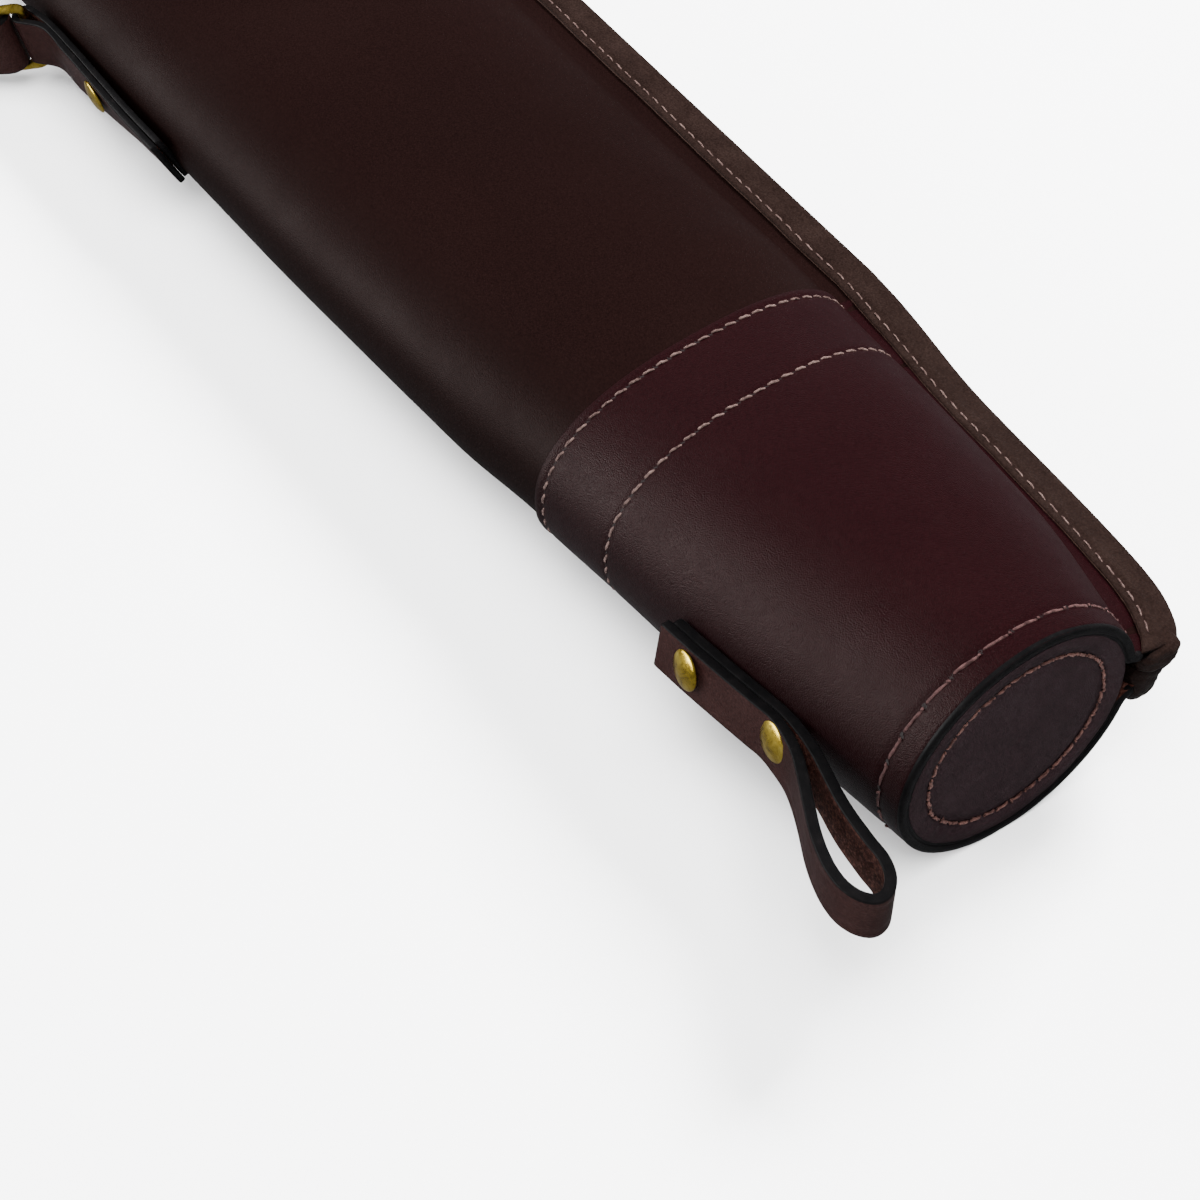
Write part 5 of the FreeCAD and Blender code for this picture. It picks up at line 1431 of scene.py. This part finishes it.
o = wire("sling_buckle_frame", [placed(0, 0, -FR_W), placed(0, 0, FR_W), placed(-FR_L, FAR_N, FR_W), placed(-FR_L, FAR_N, -FR_W)], BAR_R, M_BRASS, "case_body", rnd=2.2)
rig.replaces(o, "sling_buckle")
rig.slot(o, "brass")
hyp = math.hypot(FR_L, FAR_N)
ang_t = math.atan2(FAR_N, FR_L) + math.asin((BAR_R + 1.2 + 0.15 - 1.0) / hyp)
td, tn = np.array([-math.cos(ang_t), math.sin(ang_t)]), np.array([math.sin(ang_t), math.cos(ang_t)])
P = Parts()
ta, tb = tn * 1.0 + td * 1.2, tn * 1.0 + td * (hyp + 3.0)
a3, b3 = placed(ta[0], ta[1], 0), placed(tb[0], tb[1], 0)
ln = np.linalg.norm(b3 - a3)
lathe(P, a3, b3 - a3, [(0.05, -0.3), (1.15, -0.2), (1.2, 0.4)] + [(1.2, q) for q in np.linspace(1, ln - 2, 12)] + [(1.15, ln - 0.6), (0.9, ln + 0.4), (0.5, ln + 0.9), (0.05, ln + 1.1)], 20, 0, 0.02)
c0 = placed(0, 0, -1.7)
lathe(P, c0, (0, 0, 1), [(BAR_R + 0.06, 0), (BAR_R + 0.9, 0), (BAR_R + 1.2, 0.3), (BAR_R + 1.2, 3.1), (BAR_R + 0.9, 3.4), (BAR_R + 0.06, 3.4), (BAR_R + 0.06, 0.001)], 28, 0, 0.02)
o = row_build(P, "sling_buckle_prong", [M_BRASS], "tongue_body")
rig.replaces(o, "sling_buckle_tongue")
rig.slot(o, "brass")


# keepers: leather bands round both layers of the sling
def band(P, t, inner_half, w=9.0):
    c = sling_point(t)
    q = tangent(t)
    n = (q[1], -q[0])
    if n[1] > 0:
        n = (-n[0], -n[1])
    ax, an = np.array([-q[0], q[1], 0.0]), np.array([-n[0], n[1], 0.0])
    mid = (SLING_T + 0.35) / 2
    o0 = rowmm(*c)
    h = SLING_W / 2 + 0.5
    V = []
    K = 40
    for off, k0 in ((0.02, 0), (1.55, 1)):
        for wv in ((-w / 2, w / 2) if k0 == 0 else (-w / 2 + 0.25, w / 2 - 0.25)):
            for k in range(K):
                a = 2 * math.pi * k / K
                ca, sa = math.cos(a), math.sin(a)
                e = 0.22
                y_ = (inner_half + off) * math.copysign(abs(ca) ** e, ca)
                z_ = (h + off) * math.copysign(abs(sa) ** e, sa)
                V.append(o0 + ax * wv + an * (mid + y_) + np.array([0, 0, z_]))
    V = np.array(V)
    F, M = [], []
    for (a, b, m) in ((0, 1, 2), (2, 3, 0), (0, 2, 1), (1, 3, 1)):
        for k in range(K):
            F.append([a * K + k, a * K + (k + 1) % K, b * K + (k + 1) % K, b * K + k])
            M.append(m)
    P.add(V, F, M)


P = Parts()
band(P, T_BAR + 0.085, SLING_T + 1.0)
band(P, T_BAR + 0.135, SLING_T + 1.0)
o = row_build(P, "sling_keeper_bands", STRAP_MATS)
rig.replaces(o, "sling_keepers")
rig.slot(o, "strap_leather")


# ------------------------------------------------------------------ zip
ZIP_S0, ZIP_S1, SLIDER_S, ROW_GAP, ROW_H, CHAIN_T = 168.0, 1186.0, 1172.0, 0.4, 2.7, 2.6
TAPE_TOP = 8.0 - T_BODY - T_BIND_IN
for nm, up in (("upper", 1), ("lower", -1)):
    rings = []
    for s in np.arange(ZIP_S0, 1197.1, 1.5):
        e, zs = seam_y(s), seam_z(s)
        k = 0.05 * (int(s / 1.5) % 2)
        q = np.array([(e - 9, TAPE_TOP), (e - 9, TAPE_TOP - 0.8), (e - 4.3 - k, TAPE_TOP - 0.8), (e - 4.3, ROW_GAP + ROW_H), (e - 3.5, ROW_GAP + ROW_H), (e - 3.5 - k, TAPE_TOP)])
        rings.append(W(np.full(6, s), q[:, 0], zs + up * (q[:, 1] - 0.05)))
    o = loop_mesh(nm + "_tape_cloth", rings, [M_TAPE], close_u=False)
    o.data.polygons.foreach_set("use_smooth", np.zeros(len(o.data.polygons), dtype=bool))
    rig.replaces(o, nm + "_zip_tape")
    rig.slot(o, "zip_tape")
    P = Parts()
    s = ZIP_S0 + 4.8 + (0 if up > 0 else 1.2)
    tooth = np.array([(-.6, -5.2, 3.0), (.6, -5.2, 3.0), (.6, -2.6, 3.0), (-.6, -2.6, 3.0), (-.62, -5.2, 1.3), (.62, -5.2, 1.3), (.62, -2.6, 1.3), (-.62, -2.6, 1.3),
                      (-.45, -5.1, .42), (.45, -5.1, .42), (.45, -2.7, .42), (-.45, -2.7, .42)])
    tf = [[0, 1, 2, 3], [0, 4, 5, 1], [1, 5, 6, 2], [2, 6, 7, 3], [3, 7, 4, 0], [4, 8, 9, 5], [5, 9, 10, 6], [6, 10, 11, 7], [7, 11, 8, 4], [8, 11, 10, 9]]
    while s < ZIP_S1 - 3:
        e, zs = seam_y(s), seam_z(s)
        P.add(np.column_stack([s + tooth[:, 0], e + tooth[:, 1], zs + up * tooth[:, 2]]), tf)
        s += 2.4
    o = mm_build(P, nm + "_teeth", [M_BRASS])
    o.data.polygons.foreach_set("use_smooth", np.zeros(len(o.data.polygons), dtype=bool))
    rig.replaces(o, nm + "_zip_teeth")
    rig.slot(o, "brass")


def bev_box(P, lo, hi, b=0.3, mat=0, frame_=None):
    """Box with bevelled edges; frame_ = (origin, ux, uy, uz) or None for row axes."""
    lo, hi = np.asarray(lo, float), np.asarray(hi, float)
    b = min(b, (hi - lo).min() * 0.4)
    V = []
    idx = {}
    for sx in (0, 1):
        for sy in (0, 1):
            for sz in (0, 1):
                c = np.array([(lo, hi)[sx][0], (lo, hi)[sy][1], (lo, hi)[sz][2]])
                d = np.array([1 - 2 * sx, 1 - 2 * sy, 1 - 2 * sz]) * b
                for ax in range(3):
                    q = c + d
                    q[ax] = c[ax]
                    idx[(sx, sy, sz, ax)] = len(V)
                    V.append(q)
    F = []
    S = [(0, 0), (0, 1), (1, 1), (1, 0)]
    for ax in range(3):
        for side in (0, 1):
            f = []
            for a, b_ in S:
                k = [0, 0, 0]
                k[ax] = side
                k[(ax + 1) % 3], k[(ax + 2) % 3] = a, b_
                f.append(idx[(*k, ax)])
            F.append(f if side else f[::-1])
    for ax in range(3):
        for a in (0, 1):
            for b_ in (0, 1):
                k0, k1 = [0, 0, 0], [0, 0, 0]
                k0[ax], k1[ax] = 0, 1
                for k in (k0, k1):
                    k[(ax + 1) % 3], k[(ax + 2) % 3] = a, b_
                F.append([idx[(*k0, (ax + 1) % 3)], idx[(*k1, (ax + 1) % 3)], idx[(*k1, (ax + 2) % 3)], idx[(*k0, (ax + 2) % 3)]])
    for sx in (0, 1):
        for sy in (0, 1):
            for sz in (0, 1):
                F.append([idx[(sx, sy, sz, 0)], idx[(sx, sy, sz, 1)], idx[(sx, sy, sz, 2)]])
    V = np.array(V)
    if frame_ is not None:
        o0, ux, uy, uz = frame_
        V = o0 + V[:, :1] * ux + V[:, 1:2] * uy + V[:, 2:] * uz
    P.add(V, F, mat)


yaw = -math.atan(SEAM_SLOPE)
SF = (rowmm(SLIDER_S, seam_y(SLIDER_S), seam_z(SLIDER_S)), np.array([math.cos(yaw), math.sin(yaw), 0]), np.array([-math.sin(yaw), math.cos(yaw), 0]), np.array([0, 0, 1.0]))
P = Parts()
bev_box(P, (-6, -2.2, -3.6), (6, -1.1, 3.6), 0.45, frame_=SF)
bev_box(P, (-6, -6.8, -3.6), (6, -5.6, 3.6), 0.45, frame_=SF)
bev_box(P, (-5.5, -5.7, -0.2), (-1, -2.1, 0.2), 0.05, frame_=SF)
for x0, x1 in ((-4.6, -3.2), (3.2, 4.6)):
    bev_box(P, (x0, -1.2, -1.1), (x1, 3.4, 1.1), 0.3, frame_=SF)
bev_box(P, (-4.6, 2.4, -1.1), (4.6, 3.4, 1.1), 0.3, frame_=SF)
o = row_build(P, "zip_slider_body_brass", [M_BRASS], "slider_body", False)
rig.replaces(o, "zip_slider")
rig.slot(o, "brass")
PIN = 1.2
P = Parts()
lathe(P, SF[0] + SF[2] * PIN + np.array([0, 0, -3.2]), (0, 0, 1), [(0.05, 0), (0.7, 0), (0.8, 0.1), (0.8, 6.3), (0.7, 6.4), (0.05, 6.4)], 16)
for k in (-1, 1):
    bev_box(P, (-0.9, PIN - 0.7, k * 2.4 - 0.9), (9, PIN + 0.7, k * 2.4 + 0.9), 0.3, frame_=SF)
bev_box(P, (6.5, PIN - 0.7, -3.3), (12.0, PIN + 0.7, 3.3), 0.3, frame_=SF)
bev_box(P, (16.0, PIN - 0.7, -3.3), (20, PIN + 0.7, 3.3), 0.3, frame_=SF)
for k in (-1, 1):
    bev_box(P, (11.5, PIN - 0.7, k * 2.55 - 0.75), (16.5, PIN + 0.7, k * 2.55 + 0.75), 0.25, frame_=SF)
o = row_build(P, "zip_puller_brass", [M_BRASS], "puller_body", False)
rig.replaces(o, "zip_puller")
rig.slot(o, "brass")
P = Parts()
bev_box(P, (20.4, PIN - 2.2, -1.6), (52, PIN + 2.2, 1.6), 0.5, frame_=SF)
bev_box(P, (12.4, PIN + 0.9, -1.6), (21, PIN + 2.2, 1.6), 0.4, frame_=SF)
bev_box(P, (12.4, PIN - 2.2, -1.6), (21, PIN - 0.9, 1.6), 0.4, frame_=SF)
bev_box(P, (12.4, PIN - 1.6, -1.6), (13.9, PIN + 1.6, 1.6), 0.4, frame_=SF)
o = row_build(P, "zip_thong_leather", [M_STRAP], "puller_body")
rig.replaces(o, "zip_thong")
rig.slot(o, "strap_leather")


# ------------------------------------------------------------------ lining of fleece
fs = np.concatenate([np.arange(24, 1140, 4.0), [1140.0]])
NL = 150
outer, inner = [], []
for s in fs:
    off = cap_under(s) + T_BODY + 0.15
    z = seam_z(s)
    a0, a1 = root_angle(s, off, z + LIP_ROOT - T_BODY), 2 * math.pi + root_angle(s, off, z - LIP_ROOT + T_BODY)
    q = resample(tube(s, off, np.linspace(a0, a1, 500)), NL)
    b0, b1 = root_angle(s, off + 3, z + LIP_ROOT - T_BODY), 2 * math.pi + root_angle(s, off + 3, z - LIP_ROOT + T_BODY)
    r = resample(tube(s, off + 3.0, np.linspace(b0, b1, 500)), NL)
    n = normals2(r)
    pile = np.array([0.55 * noise.noise(Vector((s / 5.0, u[0] / 5.0, u[1] / 5.0))) + 0.35 * noise.noise(Vector((s / 2.0, u[0] / 2.0, u[1] / 2.0))) for u in r])
    r = r + n * pile[:, None]
    outer.append(W(np.full(NL, s), q[:, 0], q[:, 1]))
    inner.append(W(np.full(NL, s), r[:, 0], r[:, 1])[::-1])
rings = [np.vstack([a, b]) for a, b in zip(outer, inner)]
o = loop_mesh("fleece_pile_lining", rings, [M_FLEECE], close_u=False)
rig.replaces(o, "fleece_lining")
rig.slot(o, "fleece")


# ------------------------------------------------------------------ flap, closing strap, stud
def slab(name, outline, z0, z1, mats, body_, bev=0.4, node_name=None, slot_="flap_leather", holes=(), axis="z", wob=0.12, grid=None):
    """Flat leather piece cut to an outline in row mm (x, y), z0..z1, with rounded painted edges. Holes are outlines too."""
    bm = bmesh.new()
    rings_v = []
    lines = [np.asarray(outline, float)] + [np.asarray(h, float) for h in holes]
    for li, L in enumerate(lines):
        n = len(L)
        t = np.roll(L, -1, 0) - np.roll(L, 1, 0)
        t /= np.linalg.norm(t, axis=1)[:, None]
        nrm = np.stack([t[:, 1], -t[:, 0]], -1)
        area = 0.5 * np.sum(L[:, 0] * np.roll(L[:, 1], -1) - np.roll(L[:, 0], -1) * L[:, 1])
        if (area < 0) != (li > 0):
            nrm = -nrm
        prof = [(bev, z0), (0.12, z0 + bev * 0.35), (0, z0 + bev), (0, z1 - bev), (0.12, z1 - bev * 0.35), (bev, z1)]
        loops = []
        for ins, z in prof:
            loops.append([bm.verts.new((p[0] - m_[0] * ins, p[1] - m_[1] * ins, z)) for p, m_ in zip(L, nrm)])
        for a, b in zip(loops, loops[1:]):
            for k in range(n):
                f = bm.faces.new((a[k], a[(k + 1) % n], b[(k + 1) % n], b[k]))
                f.material_index = 1
                f.smooth = True
        rings_v.append((loops[0], loops[-1]))
    for which in (0, 1):
        edges = []
        for pair in rings_v:
            L = pair[which]
            for k in range(len(L)):
                e = bm.edges.get((L[k], L[(k + 1) % len(L)]))
                edges.append(e)
        r = bmesh.ops.triangle_fill(bm, use_beauty=True, use_dissolve=False, edges=edges)
        for g in r["geom"]:
            if isinstance(g, bmesh.types.BMFace):
                g.material_index = 0 if which else 2
                g.smooth = False
    if axis == "x":
        for v in bm.verts:
            v.co = (v.co.z, v.co.x, v.co.y)
    for v in bm.verts:
        v.co = v.co / 1000.0
    bmesh.ops.recalc_face_normals(bm, faces=bm.faces)
    me = bpy.data.meshes.new(name)
    bm.to_mesh(me)
    bm.free()
    for m_ in mats:
        me.materials.append(m_)
    o = bpy.data.objects.new(name, me)
    bpy.context.scene.collection.objects.link(o)
    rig.ride(o, body_)
    if node_name:
        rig.replaces(o, node_name)
    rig.slot(o, slot_)
    return o


def rounded(x0, x1, y0, y1, r, which=(1, 1, 1, 1), n=10):
    """Outline with corners x0y0, x1y0, x1y1, x0y1 rounded by r where which is 1."""
    out = []
    for (cx, cy, a0), w in zip(((x0, y0, 180), (x1, y0, 270), (x1, y1, 0), (x0, y1, 90)), which):
        rr = r if w else 0.8
        sx, sy = (1 if cx == x0 else -1), (1 if cy == y0 else -1)
        for k in range(n + 1):
            a = math.radians(a0 + 90 * k / n)
            out.append((cx + sx * rr + rr * math.cos(a), cy + sy * rr + rr * math.sin(a)))
    return out


FLAP_T, FLAP_S, COVER_S, COVER_Z, STUD_S, FZ = 2.5, 1203.0, 1078.0, 62.9, 1032.0, FLAT
FY0, FY1, Z0 = -82.0 + Y_MID, 44.0 + Y_MID, 3.4
FLAP_MATS = [M_BODY, M_EDGE, M_FLESH]
o = slab("flap_end_wall_leather", rounded(FY0, FY1, Z0 - FZ, COVER_Z - 0.3 - FZ, 2.0), X_TIP - FLAP_S - FLAP_T, X_TIP - FLAP_S, [M_FLESH, M_EDGE, M_BODY], "flap_wall_body", node_name="flap_end_wall", axis="x")
o = slab("flap_cover_leather", rounded(X_TIP - FLAP_S - FLAP_T / 2, X_TIP - COVER_S, FY0, FY1, 34.0, (0, 1, 1, 0), 18), COVER_Z - FZ, COVER_Z + FLAP_T - FZ, FLAP_MATS, "flap_cover_body", node_name="flap_cover")
mid_y = (FY0 + FY1) / 2
TOP = COVER_Z + FLAP_T + 0.1 - FZ
sx = X_TIP - STUD_S
hole = [(sx - 3.9 * math.cos(a) * 1.0, mid_y + 3.9 * math.sin(a)) for a in np.linspace(-math.pi / 2, math.pi / 2, 12)]
hole += [(sx + 4.0 + 3.9 * math.cos(a), mid_y + 3.9 * math.sin(a)) for a in np.linspace(math.pi / 2, -math.pi / 2, 12)]
o = slab("flap_strap_leather", rounded(X_TIP - 1188, X_TIP - STUD_S + 24, mid_y - 12.5, mid_y + 12.5, 12.0, (0, 1, 1, 0), 14), TOP, TOP + 2.6, STRAP_MATS, "flap_cover_body", node_name="flap_strap", slot_="strap_leather", holes=[hole])
P = Parts()
for s in (1172.0, 1100.0):
    lathe(P, np.array([X_TIP - s, mid_y, TOP + 2.62]), (0, 0, 1), head_profile(5.0, 1.7, 11.0, 0.8) + [(0.05, 0.0)], 40, 0, 0.04)
o = row_build(P, "flap_strap_studs", [M_BRASS], "flap_cover_body")
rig.replaces(o, "flap_strap_rivets")
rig.slot(o, "brass")
pz = height(1060.0) + 0.12 - FZ
o = slab("stud_patch_leather", rounded(X_TIP - 1060, X_TIP - 1004, mid_y - 20, mid_y + 20, 8.0), pz, pz + 1.6, STRAP_MATS, "case_body", bev=0.3, node_name="stud_patch", slot_="strap_leather")
P = Parts()
zt = pz + 1.62
lathe(P, np.array([sx, mid_y, zt]), (0, 0, 1), [(0.05, 0), (5.8, 0), (6, 0.2), (6, 1.0), (5.7, 1.2), (2.6, 1.25), (2.2, 1.7), (2.2, TOP + FZ + 2.0 - zt)] +
      [(3.3 * math.sin(a), TOP + 5.2 - zt - 3.3 * math.cos(a)) for a in np.linspace(0.8, math.pi - 0.02, 12)], 40, 0, 0.02)
o = row_build(P, "closure_stud_brass", [M_BRASS])
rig.replaces(o, "closure_stud")
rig.slot(o, "brass")

# flap root: the leaf of the flap sewn inside the underside
rings = []
for s in np.arange(1150, 1200.1, 2.5):
    off = T_BODY + 0.15
    q = resample(tube(s, off, np.linspace(math.radians(248), math.radians(292), 60)), 24)
    r = resample(tube(s, off + FLAP_T, np.linspace(math.radians(248), math.radians(292), 60)), 24)[::-1]
    p = np.vstack([q, r])
    rings.append(W(np.full(48, s), p[:, 0], p[:, 1]))
o = loop_mesh("flap_root_leather", rings, [M_BODY], close_u=False)
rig.replaces(o, "flap_root")
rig.slot(o, "flap_leather")


# ------------------------------------------------------------------ finishes for the plain hard pieces that are shown as cut
for n_, m_, sl in (("end_board", M_BOARD, "board"), ("end_pad", M_FELT, "felt"), ("zip_bottom_stop", M_BRASS, "brass"), ("zip_top_stops", M_BRASS, "brass"),
                   ("hang_loop_washers", M_BRASS, "brass"), ("front_tab_washer", M_BRASS, "brass"), ("rear_tab_washer", M_BRASS, "brass")):
    o = N[n_]
    o.data.materials.clear()
    o.data.materials.append(m_)
    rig.slot(o, sl)

# ------------------------------------------------------------------ floor, light, camera
gx, gy = np.meshgrid(np.linspace(-6, 6, 25), np.linspace(-6, 6, 25), indexing="ij")
fv = np.stack([gx, gy, np.full_like(gx, -0.0002)], -1).reshape(-1, 3)
m, nt, b = new_mat("Floor")
b.inputs["Base Color"].default_value = (0.95, 0.95, 0.955, 1)
b.inputs["Roughness"].default_value = 0.9
b.inputs["Specular IOR Level"].default_value = 0.2
floor = make("floor", fv, grid_faces(25, 25), [m], body=None)
floor.visible_glossy = False
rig.stage(floor)


def area(name, direction, dist, size, power, color=(1, 1, 1), target=(0.50, 0.03, 0.03)):
    l = bpy.data.lights.new(name, "AREA")
    l.shape = "RECTANGLE"
    l.size, l.size_y = size
    l.energy = power
    l.color = color
    o = bpy.data.objects.new(name, l)
    d = Vector(direction).normalized()
    o.location = Vector(target) + d * dist
    o.rotation_euler = d.to_track_quat("Z", "Y").to_euler()
    bpy.context.scene.collection.objects.link(o)
    return o


area("key", (-0.533, -0.795, 0.289), 2.1, (1.9, 1.1), KEY)
area("side", (-0.25, 0.72, 0.62), 2.3, (0.9, 0.7), SIDE).visible_glossy = False
area("top", (0.15, -0.1, 1.0), 2.6, (2.6, 2.6), FILL).visible_glossy = False      # a scrim: lights, but is not mirrored
w = bpy.data.worlds.new("studio")
bpy.context.scene.world = w
w.use_nodes = True
w.node_tree.nodes["Background"].inputs[0].default_value = (0.95, 0.96, 1.0, 1)
w.node_tree.nodes["Background"].inputs[1].default_value = WORLD

cam = bpy.data.cameras.new("camera")
cam.sensor_width = 36
cam.lens = 75
co = bpy.data.objects.new("camera", cam)
co.location = (0.857081, -0.238985, 0.560381)
co.rotation_euler = (math.radians(40.2321), 0, math.radians(56.0497))
cam.clip_start, cam.clip_end = 0.01, 30
bpy.context.scene.collection.objects.link(co)
bpy.context.scene.camera = co

LO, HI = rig.bounds()
with open("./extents.json", "w") as f:
    json.dump({"cad": [list(CAD_LO), list(CAD_HI)], "visual": [list(LO), list(HI)]}, f)
print("CAD", [round(v, 5) for v in (*CAD_LO, *CAD_HI)])
print("VIS", [round(v, 5) for v in (*LO, *HI)])
